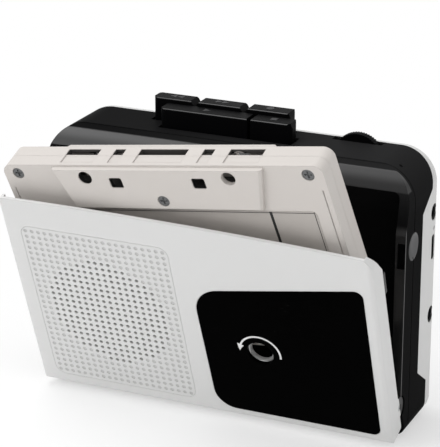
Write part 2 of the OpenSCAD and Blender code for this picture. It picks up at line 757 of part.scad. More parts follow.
function middle(x) = (x[0] + x[1]) / 2;
key_stems = [
  [middle(rewind_x), rear_stem_y], [middle(forward_x), rear_stem_y], [middle(record_x), rear_stem_y],
  [middle(play_x), front_stem_y], [stop_stem_x, front_stem_y]
];

module key_springs() color(steel) from_seam()
  for (k = key_stems) translate([k[0], k[1], bracket_z + bracket_t])
    difference() {
      cylinder(r = spring_r, h = body_h - key_foot - bracket_z - bracket_t);
      translate([0, 0, -over]) cylinder(r = spring_r - spring_t, h = body_h);
    }

// A key: a cap rounded in plan, with a chamfer along its top edges and slanted ends,
// and a stem through the bracket.
// ends holds the left and right corner radii, slants the left and right end slants
module key(x, y, d, h, ends, slants, stem_x, stem_y) from_seam() {
  top = body_h + h;
  difference() {
    translate([0, 0, body_h - key_foot]) linear_extrude(key_foot + h) rotate(90)
      soft_rect(y, -x[1], y + d, -x[0], ends[1], ends[0]);
    along_x(x[0] - over, x[1] + over) polygon([
      [y - over, top - key_edge - over], [y + key_edge + over, top + over], [y - over, top + over]
    ]);
    along_x(x[0] - over, x[1] + over) polygon([
      [y + d + over, top - key_edge - over], [y + d - key_edge - over, top + over], [y + d + over, top + over]
    ]);
    along_y(y - over, y + d + over) polygon([
      [x[0] - slants[0], top - 2 * slant_h],
      [x[0] + 2 * slants[0], top + slant_h],
      [x[0] - slants[0], top + slant_h]
    ]);
    along_y(y - over, y + d + over) polygon([
      [x[1] + slants[1], top - 2 * slant_h],
      [x[1] - 2 * slants[1], top + slant_h],
      [x[1] + slants[1], top + slant_h]
    ]);
  }
  block(stem_x - stem_w / 2, stem_x + stem_w / 2, stem_y - stem_d / 2, stem_y + stem_d / 2,
    stem_z, body_h - key_foot + 0.5);
}

key_edge = 0.4;
slant_h = 1.6;
slant = 1.1;
edge = 0.3;
module rear_key(x, ends, slants)
  key(x, rear_key_y, rear_key_d, rear_key_h, ends, slants, middle(x), rear_stem_y);

module front_key(x, ends, stem_x)
  key(x, key_y, front_key_d, front_key_h, ends, [edge, edge], stem_x, front_stem_y);

module rewind_key() color(black) rear_key(rewind_x, [2.2, 0.5], [edge, slant]);
module forward_key() color(black) rear_key(forward_x, [0.5, 0.5], [slant, slant]);
module record_key() color(black) rear_key(record_x, [0.5, 1.2], [slant, edge]);
module play_key() color(black) front_key(play_x, [1.9, 0.4], middle(play_x));
module stop_key() color(black) front_key(stop_x, [0.4, 1.9], stop_stem_x);

// Door pieces, drawn closed
grille_w = (grille_cols + 0.43) * pitch;
grille_h = (grille_rows + 0.57) * pitch;
grille_r = 3;
lens_x1 = door_x - 3.2;
lens_z0 = door_z0 + lens_foot;
lens_r = 9;
lens_foot_r = 6.5;
lens_lean = 0.7;
lens_edge_r = 2.4;
arch_x = -30;
arch_run = door_x - arch_x;
arch_r = (arch_run * arch_run + door_arch * door_arch) / (2 * door_arch);

door_end = door_top - door_arch;
shoulder_z = rim_z;
door_r = 7;
door_left_r = 2;
module door_outline() intersection() {
  soft_rect(-door_x, door_z0, door_x + 2 * door_r, door_top, foot_r, door_left_r);
  soft_rect(-door_x - 2 * door_r, door_z0, door_x, door_top, foot_r, door_r);
  translate([arch_x, door_top - arch_r]) circle(arch_r, $fn = 512);
}

module door_side() polygon([
  [-door_d + toe_d, door_z0], [-seam_gap, door_z0], [-seam_gap, shoulder_z], [-door_d + door_skin, door_end],
  [-door_d + door_skin, door_top], [-door_d, door_top], [-door_d, door_z0 + toe_h]
]);

// The lens: rising upper edge, large left corners and small right ones
module lens_outline(inset) hull() {
  translate([lens_x0 + lens_lean + lens_foot_r, lens_z0 + lens_foot_r]) circle(lens_foot_r - inset);
  translate([lens_x0 + lens_r, lens_z0 + lens_h0 - lens_r]) circle(lens_r - inset);
  translate([lens_x1 - lens_edge_r, lens_z0 + lens_edge_r]) circle(lens_edge_r - inset);
  translate([lens_x1 - lens_edge_r, lens_z0 + lens_h1 - lens_edge_r]) circle(lens_edge_r - inset);
}

module door_cover() color(white) in_door() difference() {
  union() {
    difference() {
      intersection() {
        along_y(-door_d, 0) door_outline();
        along_x(-body_w, body_w) door_side();
        translate([0, 0, -over]) linear_extrude(body_h) soft_rect(-door_x, -door_d, door_x, over, 1.4, 0.2);
      }
      intersection() {
        along_y(-door_d, over)
          soft_rect(-door_in_x, door_z0 + door_floor, door_in_x, body_h + 9, foot_r / 2, 1);
        along_x(-body_w, body_w) polygon([
          [toe_in_y - door_floor * toe_d / toe_h, door_z0 + door_floor], [over, door_z0 + door_floor],
          [over, body_h + 9],
          [-skin_y - lead_in, body_h + 9], [-skin_y - lead_in, door_end - 1], [-skin_y, door_end - 6],
          [-skin_y, door_z0 + (toe_in_y + skin_y) * toe_h / toe_d]
        ]);
      }
    }
    both_sides() rod_x(0, hinge_z, knuckle_r, door_in_x, door_x);
    block(door_in_x, door_x - 0.3, -seam_gap - over, 1.8, latch_z, latch_z + latch_h);
  }
  both_sides() rod_x(0, hinge_z, pin_r + run_gap, door_in_x - over, door_x + over);
  along_y(-door_d - over, -door_d + grille_t) translate([grille_x, grille_z])
    soft_rect(-grille_w / 2 - 0.1, -grille_h / 2 - 0.1, grille_w / 2 + 0.1, grille_h / 2 + 0.1,
      grille_r + 0.1, grille_r + 0.1);
  rod_y(grille_x, grille_z, speaker_r + 0.2, -door_d - over, -skin_y + over);
  along_y(-door_d - over, -door_d + lens_t) lens_outline(0);
  rod_y(takeup_x, reel_z, window_r - 0.7, -door_d - over, -skin_y + over);
}

// Holes open behind the speaker and stay shallow dimples elsewhere
function grille_at(i, n) = (i - (n - 1) / 2) * pitch;
module grille_holes(all) for (i = [0:grille_cols - 1], j = [0:grille_rows - 1]) {
  if (all || norm([grille_at(i, grille_cols), grille_at(j, grille_rows)]) < speaker_r)
    translate([grille_at(i, grille_cols), grille_at(j, grille_rows)]) circle(hole_r, $fn = 16);
}

module grille_layer(y0, y1, all) translate([grille_x, 0, grille_z]) along_y(y0, y1) difference() {
  soft_rect(-grille_w / 2, -grille_h / 2, grille_w / 2, grille_h / 2, grille_r, grille_r);
  grille_holes(all);
}

module speaker_grille() color(white) in_door() union() {
  grille_layer(-door_d, -door_d + dimple_t, true);
  grille_layer(-door_d + dimple_t, -door_d + grille_t, false);
}

module door_lens() color("#0d0d0f") in_door() along_y(-door_d - 0.15, -door_d + lens_t) difference() {
  lens_outline(0.1);
  translate([takeup_x, reel_z]) circle(window_r);
}

module speaker_frame() color("#3a3c40") in_door() difference() {
  rod_y(grille_x, grille_z, speaker_r, -door_d + grille_t + 0.05, -skin_y);
  rod_y(grille_x, grille_z, speaker_r - 2.4, -door_d, -skin_y - 0.3);
  for (a = [30:60:330]) rod_y(grille_x + 13.4 * cos(a), grille_z + 13.4 * sin(a), 2, -door_d, 0);
}

module speaker_cone() color("#232427") in_door()
  translate([grille_x, -skin_y - 0.3, grille_z]) rotate([90, 0, 0]) rotate_extrude() polygon([
    [0, 0], [speaker_r - 2.5, 0], [speaker_r - 2.5, 0.25], [speaker_r - 4, 0.55],
    [speaker_r - 5.5, 0.3], [6, 0.3], [3, 0.6], [0, 0.6]
  ]);

magnet_r = speaker_r - 9;
leaf_w = 4;
leaf_x = [tape_x + tape_half - 3 * leaf_w - 0.2, tape_x + tape_half - leaf_w - 0.2];
leaf_z = tape_z + 0.22 * tape_h;
leaf_h = 0.345 * tape_h;
leaf_foot = 3;
module speaker_magnet() color(steel) in_door()
  rod_y(grille_x, grille_z, magnet_r, -skin_y, tape_mid - tape_thin / 2 - 0.35);

module tape_springs() color(steel) in_door() for (x = leaf_x) difference() {
  block(x, x + leaf_w, -skin_y, tape_mid - tape_thin / 2 - 0.4, leaf_z, leaf_z + leaf_h);
  block(x - over, x + leaf_w + over, -skin_y - over, tape_mid - tape_thin / 2 - 0.8,
    leaf_z + leaf_foot, leaf_z + leaf_h - leaf_foot);
}

// The cassette, drawn upright about its own middle plane with the head openings upwards
tape_wall = 1.2;
cavity_t = 3.2;
collar_r = 5.2;
corner_r = 3;
core_r = 11;
pack_t = 1.9;
full_pack_r = 21.5;
low_pack_r = 14;
screw_in = 4.7;
screw_places = [
  [-tape_half + screw_in, 3.5], [tape_half - screw_in, 3.5],
  [-tape_half + screw_in, tape_h - 3], [tape_half - screw_in, tape_h - 3], [0, tape_h - 11]
];
pin_x = 13;
pin_w = 4;
pin_h = 3.4;
pin_drop = 6.6;
head_pocket_y = tape_thick / 2 - 1.5;
bevel = 0.9;
windows = [[-31, -20.5], [-15.7, -12.4], [-7.5, 7.5], [12.4, 15.7], [20.5, 31]];
window_t = 3.1;
ledge_y = 0.9;
slit_y = -2.7;
ledge_drop = 0.35;
ledge_t = 0.7;
ribbon_drop = 2.4;
groove_x = tape_half - 1.8;
groove_w = 0.3;
view_w = 11;
view_h = 9;
pane_t = 0.9;

module thick_outline() polygon([
  [-thick_x, tape_h - 0.6], [-thick_x_low, tape_h - thick_h],
  [thick_x_low, tape_h - thick_h], [thick_x, tape_h - 0.6]
]);

// Cutters that bevel the sides and the lower edge of the thick part
module thick_bevels() {
  lean = atan((thick_x - thick_x_low) / (thick_h - 0.6));
  for (f = [-tape_thick / 2, tape_thick / 2]) {
    for (s = [-1, 1]) translate([s * thick_x_low, f, tape_h - thick_h])
      rotate([0, s * lean, 0]) rotate([0, 0, 45]) cube([bevel, bevel, 4 * thick_h], center = true);
    translate([0, f, tape_h - thick_h]) rotate([45, 0, 0]) cube([tape_w, bevel, bevel], center = true);
  }
}

// Half of the shell: side -1 is the front half, 1 the rear half
module shell_half(side) {
  lo = min(0, side);
  difference() {
    union() {
      difference() {
        along_y(lo * tape_thin / 2, (lo + 1) * tape_thin / 2)
          soft_rect(-tape_half, 0, tape_half, tape_h, corner_r, corner_r);
        along_y(-cavity_t, cavity_t)
          soft_rect(-tape_half + tape_wall, tape_wall,
            tape_half - tape_wall, hub_z + full_pack_r + 2.4, 1, 1);
      }
      intersection() {
        along_y(lo * tape_thick / 2, (lo + 1) * tape_thick / 2) thick_outline();
        block(-tape_half, tape_half, -tape_thick, tape_thick, hub_z + full_pack_r + 2.2, tape_h);
      }
      along_y(min(side * (cavity_t - 0.2), side * tape_thick / 2),
        max(side * (cavity_t - 0.2), side * tape_thick / 2)) thick_outline();
      for (p = [screw_places[0], screw_places[1]])
        rod_y(p[0], p[1], 2.2, lo * (tape_thin / 2 - 0.2), (lo + 1) * (tape_thin / 2 - 0.2));
    }
    for (x = [-hub_x, hub_x]) rod_y(x, hub_z, collar_r + slip, -tape_thick, tape_thick);
    for (x = [-capstan_hole_x, capstan_hole_x])
      rod_y(x, tape_h - capstan_drop, capstan_hole_r, -tape_thick, tape_thick);
    for (s = [-1, 1]) along_y(-tape_thick, tape_thick) soft_rect(
      s * pin_x - pin_w / 2, tape_h - pin_drop, s * pin_x + pin_w / 2, tape_h - pin_drop + pin_h, 0.6, 0.6);
    for (s = [-1, 1]) along_y(-head_pocket_y, head_pocket_y) polygon([
      [s * 9, tape_h - thick_h + 4.8], [s * (thick_x_low - 0.8), tape_h - thick_h + 4.8],
      [s * (thick_x - 1.8), tape_h - 1.4], [s * 9, tape_h - 1.4]
    ]);
    thick_bevels();
    for (w = windows) {
      block(w[0], w[1], ledge_y, window_t, tape_h - 9, tape_h + over);
      block(w[0], w[1], -window_t, slit_y, tape_h - 3, tape_h + over);
      block(w[0], w[1], -window_t, ledge_y + over, tape_h - ledge_drop, tape_h + over);
      block(w[0], w[1], slit_y, window_t, tape_h - 9, tape_h - ledge_drop - ledge_t);
    }
    for (s = [-1, 1]) translate([s * groove_x, 0, 0])
      block(-groove_w / 2, groove_w / 2, -tape_thin, -tape_thin / 2 + groove_w, 14, tape_h - 8);
    block(-tape_half + 7, tape_half - 7, -pack_t - 0.3, pack_t + 0.3,
      tape_h - ribbon_drop - 1, tape_h - ribbon_drop + 1);
    for (s = [-1, 1])
      block(min(s * 37, s * (tape_half - 7)), max(s * 37, s * (tape_half - 7)),
        -pack_t - 0.3, pack_t + 0.3, hub_z + full_pack_r, tape_h - ribbon_drop + 1);
    block(-view_w, view_w, -tape_thin, tape_thin, hub_z - view_h / 2, hub_z + view_h / 2);
    for (p = screw_places) rod_y(p[0], p[1], screw_r, -tape_thick, tape_thin / 2 - 1);
    for (i = [0:4])
      rod_y(screw_places[i][0], screw_places[i][1], screw_head_r + 0.1,
        -tape_thick, screw_top(i) + screw_head_t + 0.2);
  }
}

// Height of the shell's front face under a screw head
function screw_top(i) = i == 4 ? -tape_thick / 2 : -tape_thin / 2;

module cassette_front() color(cream) in_cassette() shell_half(-1);
module cassette_rear() color(cream) in_cassette() shell_half(1);

module cassette_window() color("#9aa3a8") in_cassette() for (y = [-tape_thin / 2, tape_thin / 2 - pane_t])
  block(-view_w, view_w, y, y + pane_t, hub_z - view_h / 2, hub_z + view_h / 2);

label_t = 0.15;
module cassette_label() color("#efece4") in_cassette()
  along_y(-tape_thin / 2 - label_t, -tape_thin / 2) difference() {
  soft_rect(-tape_half + 5.7, 6, tape_half - 5.7, tape_h - thick_h - 0.8, 1.5, 1.5);
  soft_rect(-hub_x - 7, hub_z - 7, hub_x + 7, hub_z + 7, 7, 6.9);
}

module cassette_screws() color(steel) in_cassette() for (i = [0:4]) difference() {
  union() {
    rod_y(screw_places[i][0], screw_places[i][1], screw_r, screw_top(i) + 0.4, tape_thin / 2 - 1.4);
    rod_y(screw_places[i][0], screw_places[i][1], screw_head_r,
      screw_top(i) + 0.2, screw_top(i) + 0.2 + screw_head_t);
  }
  for (a = [0, 90])
    translate([screw_places[i][0], screw_top(i) + 0.2, screw_places[i][1]]) rotate([0, a, 0])
      cube([2.2, 0.7, 0.5], center = true);
}

module tape_ribbon() color(brown) in_cassette() block(
  -tape_half + 8, tape_half - 8, -pack_t, pack_t, tape_h - ribbon_drop - 0.15, tape_h - ribbon_drop + 0.15);

module pressure_pad() color("#b9873f") in_cassette() union() {
  block(-7, 7, -2.6, 2.6, tape_h - 9, tape_h - 8.7);
  block(-2, 2, -1.9, 1.9, tape_h - 8.8, tape_h - ribbon_drop - 0.3);
}

module hub(x) difference() {
  union() {
    rod_y(x, hub_z, core_r, -cavity_t + slip, cavity_t - slip);
    rod_y(x, hub_z, collar_r, -tape_thin / 2 + 0.15, tape_thin / 2 - 0.15);
  }
  difference() {
    rod_y(x, hub_z, collar_r - 0.6, -tape_thin, tape_thin);
    for (a = [0:60:300]) translate([x, 0, hub_z]) rotate([0, a, 0]) block(3.5, collar_r, -2.6, 2, -0.8, 0.8);
  }
}

module pack(x, r) difference() {
  rod_y(x, hub_z, r, -pack_t, pack_t);
  rod_y(x, hub_z, core_r, -tape_thin, tape_thin);
}

module left_hub() color(white) in_cassette() hub(-hub_x);
module right_hub() color(white) in_cassette() hub(hub_x);
module left_tape_pack() color(brown) in_cassette() pack(-hub_x, full_pack_r);
module right_tape_pack() color(brown) in_cassette() pack(hub_x, low_pack_r);

mid_frame();
rear_shell();
battery_cover();
battery_tray();
battery_cells();
battery_contacts();
rear_screws();
hinge_pins();
chassis_plate();
chassis_screws();
drive_motor();
drive_belt();
motor_pulley();
flywheel();
capstan();
idler_wheel();
take_up_wheel();
take_up_spindle();
supply_spindle();
brake_disc();
head_plate();
play_head();
erase_head();
roller_arm();
pinch_roller();
circuit_board();
headphone_socket();
line_socket();
charging_socket();
microphone();
volume_control();
volume_wheel();
key_bracket();
key_springs();
rewind_key();
forward_key();
record_key();
play_key();
stop_key();
door_cover();
speaker_grille();
door_lens();
speaker_frame();
speaker_cone();
speaker_magnet();
tape_springs();
cassette_front();
cassette_rear();
cassette_window();
cassette_label();
cassette_screws();
tape_ribbon();
pressure_pad();
left_hub();
left_tape_pack();
right_hub();
right_tape_pack();
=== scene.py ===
# %% [markdown]
# # A pocket cassette player
# The solids come from the CAD frame: every node sits at the origin with its place in its mesh.
# This lesson adds what CAD leaves plain: finishes, printed signs, wound springs, light and a camera.

# %% Load the frame
import json

import bmesh
import bpy
import numpy as np
from mathutils import Matrix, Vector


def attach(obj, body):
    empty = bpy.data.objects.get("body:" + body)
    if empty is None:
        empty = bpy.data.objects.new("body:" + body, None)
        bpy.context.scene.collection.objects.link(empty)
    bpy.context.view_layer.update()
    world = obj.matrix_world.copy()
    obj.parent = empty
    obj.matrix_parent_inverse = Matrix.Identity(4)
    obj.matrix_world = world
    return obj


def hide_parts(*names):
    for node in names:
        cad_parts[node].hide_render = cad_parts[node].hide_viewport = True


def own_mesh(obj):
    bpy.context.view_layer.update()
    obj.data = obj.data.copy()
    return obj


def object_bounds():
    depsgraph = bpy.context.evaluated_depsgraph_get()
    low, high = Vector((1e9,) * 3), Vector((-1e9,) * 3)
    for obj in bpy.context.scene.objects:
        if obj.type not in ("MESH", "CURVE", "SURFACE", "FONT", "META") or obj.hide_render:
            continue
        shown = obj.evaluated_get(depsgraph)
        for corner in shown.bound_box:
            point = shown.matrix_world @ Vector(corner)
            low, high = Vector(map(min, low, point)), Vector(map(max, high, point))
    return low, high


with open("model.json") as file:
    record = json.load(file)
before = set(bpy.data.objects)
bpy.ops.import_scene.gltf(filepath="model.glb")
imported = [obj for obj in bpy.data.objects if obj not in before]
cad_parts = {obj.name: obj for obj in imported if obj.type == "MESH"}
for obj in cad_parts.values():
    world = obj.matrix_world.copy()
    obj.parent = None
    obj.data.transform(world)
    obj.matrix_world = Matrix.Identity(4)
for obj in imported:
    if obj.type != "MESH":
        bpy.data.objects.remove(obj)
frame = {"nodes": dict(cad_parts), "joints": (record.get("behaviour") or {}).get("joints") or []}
nodes = frame["nodes"]
cad_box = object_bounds()

# %% [markdown]
# ## Where things are
# The player stands with its door dropped forward by 20 degrees and a cassette half way in.
# The functions below take points that are easy to think about (on the body, on the shut door, or on an
# upright cassette, in millimetres) to the row frame in metres. They are plain matrix products
# on whole arrays, so a print can be drawn flat and carried to its tilted surface at once.

# %% Places on the door and on the cassette
MM = 0.001
HALF_DEPTH = 14.2
HINGE_Z = 11.8
DOOR_OPEN = np.radians(20)
DOOR_FACE = -7.95
TAPE_SEAT = np.array([-2.0, 1.8, 2.2])
TAPE_TILT = np.radians(9)
TAPE_RISE, TAPE_DRIFT, TAPE_HALF_H = 24.7, 1.0, 31.9


def turn_x(angle):
    """Matrix of a right-handed turn about X."""
    c, s = np.cos(angle), np.sin(angle)
    return np.array([[1, 0, 0], [0, c, -s], [0, s, c]])


def turn_y(angle):
    """Matrix of a right-handed turn about Y."""
    c, s = np.cos(angle), np.sin(angle)
    return np.array([[c, 0, s], [0, 1, 0], [-s, 0, c]])


def on_body(points):
    """Millimetres with y counted from the door seam, to the row frame in metres."""
    return (np.asarray(points, float) - [0, HALF_DEPTH, 0]) * MM


def on_door(points):
    """A point of the shut door, turned by the opening angle about the hinge line."""
    hinge = np.array([0, 0, HINGE_Z])
    return on_body((np.asarray(points, float) - hinge) @ turn_x(DOOR_OPEN).T + hinge)


def tape_pole():
    """The far point about which one turn gives both the cassette's rise and its tilt."""
    s, v = np.sin(TAPE_TILT), 1 - np.cos(TAPE_TILT)
    k = -(TAPE_DRIFT * s + TAPE_RISE * v) / (2 * v)
    d = (TAPE_RISE + k * v) / s
    return np.array([TAPE_SEAT[0] - d, 0, TAPE_SEAT[2] + TAPE_HALF_H - k])


def on_cassette(points):
    """A point of the upright cassette (x from its middle, y from its mid-plane, z from its lower edge)."""
    pole = tape_pole()
    seated = np.asarray(points, float) + TAPE_SEAT - pole
    return on_door(seated @ turn_y(-TAPE_TILT).T + pole)


print("cassette pole, mm:", np.round(tape_pole(), 2))

# %% [markdown]
# ## Camera
# The photograph was taken from the right of the front and from above, with a long lens.
# A constraint could aim the camera at the part. Here its three axes are written out as vectors, its
# right, its up and the way back to the eye, because they were fitted and should stay as fitted.

# %% Camera
FOCAL_PIXELS, PICTURE_HEIGHT, SENSOR = 2000, 447, 36
right = np.array([0.9115, 0.4113, -0.0009])
up = np.array([-0.1407, 0.3139, 0.939])
back = np.array([0.3865, -0.8557, 0.344])
eye = np.array([0.2219, -0.5047, 0.2563])
camera = bpy.data.objects.new("camera", bpy.data.cameras.new("camera"))
bpy.context.scene.collection.objects.link(camera)
pose = np.eye(4)
pose[:3, :] = np.column_stack([right, up, back, eye])
camera.matrix_world = Matrix(pose.tolist())
camera.data.sensor_width = SENSOR
camera.data.lens = FOCAL_PIXELS / PICTURE_HEIGHT * SENSOR
bpy.context.scene.camera = camera
print("lens:", round(camera.data.lens, 1), "mm")

# %% [markdown]
# ## Shader maths
# A finish is a small network of nodes. Writing `1 - grain * 0.2` is easier to read than wiring
# Math nodes by hand, so one class wraps a socket and overloads the operators, and a second one
# holds the material and adds any other node.


# %% Sockets that do arithmetic
class Wire:
    """A node's output. Arithmetic on it adds Math nodes."""

    def __init__(self, finish, socket):
        self.finish, self.socket = finish, socket

    def maths(self, operation, *values):
        """A Math node fed with these values."""
        return self.finish.node("ShaderNodeMath", {"operation": operation}, dict(enumerate(values)))

    def __add__(self, other):
        return self.maths("ADD", self, other)

    def __sub__(self, other):
        return self.maths("SUBTRACT", self, other)

    def __rsub__(self, other):
        return self.maths("SUBTRACT", other, self)

    def __mul__(self, other):
        return self.maths("MULTIPLY", self, other)

    def __truediv__(self, other):
        return self.maths("DIVIDE", self, other)

    def __gt__(self, other):
        return self.maths("GREATER_THAN", self, other)

    def __lt__(self, other):
        return self.maths("LESS_THAN", self, other)

    def sin(self):
        """Sine of an angle in radians."""
        return self.maths("SINE", self)


class Finish:
    """One material with a Principled shader, and one method that adds any node to it."""

    def __init__(self, name, **constants):
        self.material = bpy.data.materials.new(name)
        self.material.use_nodes = True
        self.tree = self.material.node_tree
        self.shader = self.tree.nodes["Principled BSDF"]
        self.feed(**constants)

    def set(self, node, socket, value):
        """Link a wire to a socket, or write a constant into it."""
        if isinstance(value, Wire):
            self.tree.links.new(value.socket, node.inputs[socket])
        else:
            node.inputs[socket].default_value = value

    def node(self, kind, settings, sockets, out=0):
        """Add a node with its settings and sockets, and give one of its outputs."""
        made = self.tree.nodes.new(kind)
        for name, value in settings.items():
            setattr(made, name, value)
        for socket, value in sockets.items():
            self.set(made, socket, value)
        return Wire(self, made.outputs[out])

    def feed(self, **sockets):
        """Set sockets of the Principled shader; an underscore in a name stands for a space."""
        for socket, value in sockets.items():
            self.set(self.shader, socket.replace("_", " "), value)
        return self.material


print("sockets do arithmetic")

# %% [markdown]
# ## Patterns and edges
# A finish on a real part drifts, has grain and ends in soft edges. Pictures could be wrapped round the
# part for that; noise and ramps in object coordinates need no file and have no seams, and they lie on
# the part in metres, so that a grain keeps its real size.


# %% Noise, blends, ramps and bumps
def place(f):
    """Object coordinates, which are the row frame in metres."""
    return f.node("ShaderNodeTexCoord", {}, {}, "Object")


def axis(f, name):
    """One of the object coordinates, by its letter."""
    return f.node("ShaderNodeSeparateXYZ", {}, {0: place(f)}, name)


def vector(f, operation, first, second=(0, 0, 0), out=0):
    """One Vector Math node; out is "Value" where the result is a number."""
    return f.node("ShaderNodeVectorMath", {"operation": operation}, {0: first, 1: second}, out)


def stretched(f, factors):
    """Object coordinates times a factor per axis; a small factor draws a pattern out along that axis."""
    return vector(f, "MULTIPLY", place(f), factors)


def noise(f, size, detail=2.0, where=None):
    """Cloudy noise whose features are about `size` metres across."""
    sockets = {"Vector": where or place(f), "Scale": 1 / size, "Detail": detail}
    return f.node("ShaderNodeTexNoise", {}, sockets, "Fac")


def blend(f, share, low, high):
    """A colour between two, by share; the low one may come from another node."""
    first = low if isinstance(low, Wire) else (*low, 1)
    return f.node("ShaderNodeMix", {"data_type": "RGBA"}, {0: share, 6: first, 7: (*high, 1)}, 2)


def ramp(f, value, low, high):
    """0 where value is low, 1 where it is high, with smooth ends; low may be the larger."""
    sockets = {"Value": value, "From Min": low, "From Max": high}
    return f.node("ShaderNodeMapRange", {"interpolation_type": "SMOOTHSTEP"}, sockets)


def soft_edges(f, radius):
    """The normal with edges rounded by radius, as a moulding has them."""
    return f.node("ShaderNodeBevel", {"samples": 4}, {"Radius": radius})


def bump(f, height, depth, radius=0.0003):
    """The soft-edged normal, dented by height times depth."""
    sockets = {"Height": height, "Distance": depth, "Strength": 1.0, "Normal": soft_edges(f, radius)}
    return f.node("ShaderNodeBump", {}, sockets)


print("shader helpers ready")

# %% [markdown]
# ## Shade in narrow places
# The holes of the cassette, the mouths of the sockets, the slot of the wheel and the back of the door
# lie deep and look nearly black, while pale walls in a bright studio pass light on and come out grey.
# Paint on the walls could darken them, or a lining of their own; here the finish itself is told where
# they are. Each shade below is up to 1 on such a wall and 0 elsewhere, from the place on the part's own
# axes. These tones stand in for shade, and stay as they are in another light.


# %% Places on a part
def node_box(name):
    """Lowest and highest corner of a CAD node, in metres."""
    mesh = nodes[name].data
    points = np.empty(3 * len(mesh.vertices))
    mesh.vertices.foreach_get("co", points)
    points = points.reshape(-1, 3)
    return np.stack([points.min(0), points.max(0)])


def local(f, carry):
    """Millimetres along a part's own axes: offset from its origin, then a dot product with each axis."""
    origin = carry([[0, 0, 0]])[0]
    offset = vector(f, "SUBTRACT", place(f), tuple(origin))
    axes = (carry(np.eye(3)) - origin) / MM
    return [vector(f, "DOT_PRODUCT", offset, tuple(a), "Value") / MM for a in axes]


def near(value, middle, reach):
    """1 where value is within reach of middle."""
    return value.maths("ABSOLUTE", value - middle) < reach


print("wheel box, mm:", np.round(node_box("volume_wheel") / MM, 1).tolist())

# %% Shades by place
# A pair is a middle and a reach to both sides, in millimetres.
REEL = np.array([19.25, DOOR_FACE, 31.5])
DOOR_BACK, WINDOW_HALF, WINDOW_SHADE = 0.3, 3.6, 0.6
PIN_X, PIN_Z, BORE_X, BORE_Z = (13.0, 2.2), (58.9, 1.9), (22.5, 2.3), (60.6, 2.3)
HOLE_Y, LEDGE_Y, LEDGE_Z, INSIDE_Y, INSIDE_Z = (0, 5.7), (2.1, 1.25), (57, 6.65), (0, 3.2), (56.5, 6.2)
PALE_R, OPENINGS_END, INSIDE_SHADE = 2.5, 33.0, 0.9
WALL_FROM, WALL_TO, MOUTH_ROOM, PORT_HALF_D = 0.25, 5.0, 0.3, 2.7
SLOT_HALF_W, SLOT_ROOM = 8.0, 0.45


def door_shade(f):
    """1 on what the door has behind its seam, and a part of 1 on the wall of the reel window."""
    x, y, z = local(f, on_door)
    window = near(x, REEL[0], WINDOW_HALF) * near(z, REEL[2], WINDOW_HALF)
    return (y > DOOR_BACK) + window * WINDOW_SHADE


def cassette_shade(f):
    """1 on the walls of the holes but the right capstan hole, and 0.9 inside the upper edge's openings."""
    x, y, z = local(f, on_cassette)
    across, up = x - BORE_X[0], z - BORE_Z[0]
    pale = across * across + up * up < PALE_R ** 2
    x = x.maths("ABSOLUTE", x)
    holes = (near(x, *PIN_X) * near(z, *PIN_Z) + near(x, *BORE_X) * near(z, *BORE_Z)) * near(y, *HOLE_Y)
    behind_ledge = near(z, *LEDGE_Z) * near(y, *LEDGE_Y)
    inside = near(z, *INSIDE_Z) * near(y, *INSIDE_Y)
    inside = inside.maths("MAXIMUM", inside, behind_ledge) * (x < OPENINGS_END) * INSIDE_SHADE
    return holes.maths("MAXIMUM", holes, inside) * (1.0 - pale)


def shell_shade(f):
    """1 on the walls of the sockets' mouths, behind the outer face, and on those of the wheel's slot."""
    mouths = [node_box(name) for name in ("headphone_socket", "line_socket", "charging_socket")]
    x, y, z = [axis(f, name) / MM for name in "XYZ"]
    depth = cad_box[1][0] / MM - x
    wall = (depth > WALL_FROM) * (depth < WALL_TO)
    port_y = mouths[2].mean(0)[1] / MM
    level, *others = [near(z, m.mean(0)[2] / MM, (m[1] - m[0])[2] / MM / 2 + MOUTH_ROOM) for m in mouths]
    for other in others:
        level = level.maths("MAXIMUM", level, other)
    low, high = node_box("volume_wheel") / MM
    middle, half = (low + high) / 2, (high - low) / 2
    slot = near(x, middle[0], SLOT_HALF_W) * (z < cad_box[1][2] / MM) * (z > low[2])
    slot = slot * near(y, middle[1], half[1] + SLOT_ROOM)
    return wall * near(y, port_y, PORT_HALF_D) * level + slot


print("shades for the door, the cassette and the shell")

# %% [markdown]
# ## Moulded plastics
# The back and the door are white ABS with a fine spark-eroded grain, and the cassette is cream styrene.
# A real moulding is never one flat value: flow lines shift its colour by a few per cent, handling
# polishes it in patches, and every edge has a small round that catches light. Noise at three sizes
# gives the first two and the grain. The rounds could be modelled too; a Bevel node makes them for the
# light only, so the CAD mesh stays as it is.


# %% Plastic finishes
FLOW_SIZE, RUB_SIZE, EDGE_ROUND, SHADE = 0.03, 0.006, 0.0004, (0.008, 0.008, 0.008)


def moulded(name, low, high, rough, patch, grain, depth, level=0.5, dark=None):
    """Colour drifts between two tones, roughness by patch, grain dents by depth; dark blends towards a
    painted shade.
    """
    f = Finish(name, Specular_IOR_Level=level)
    flow = noise(f, FLOW_SIZE, 3)
    rub = noise(f, RUB_SIZE, 4)
    tone = blend(f, flow, low, high)
    return f.feed(
        Base_Color=blend(f, dark(f), tone, SHADE) if dark else tone,
        Roughness=rub * patch + (rough - patch / 2),
        Normal=bump(f, noise(f, grain, 2), depth, EDGE_ROUND),
    )
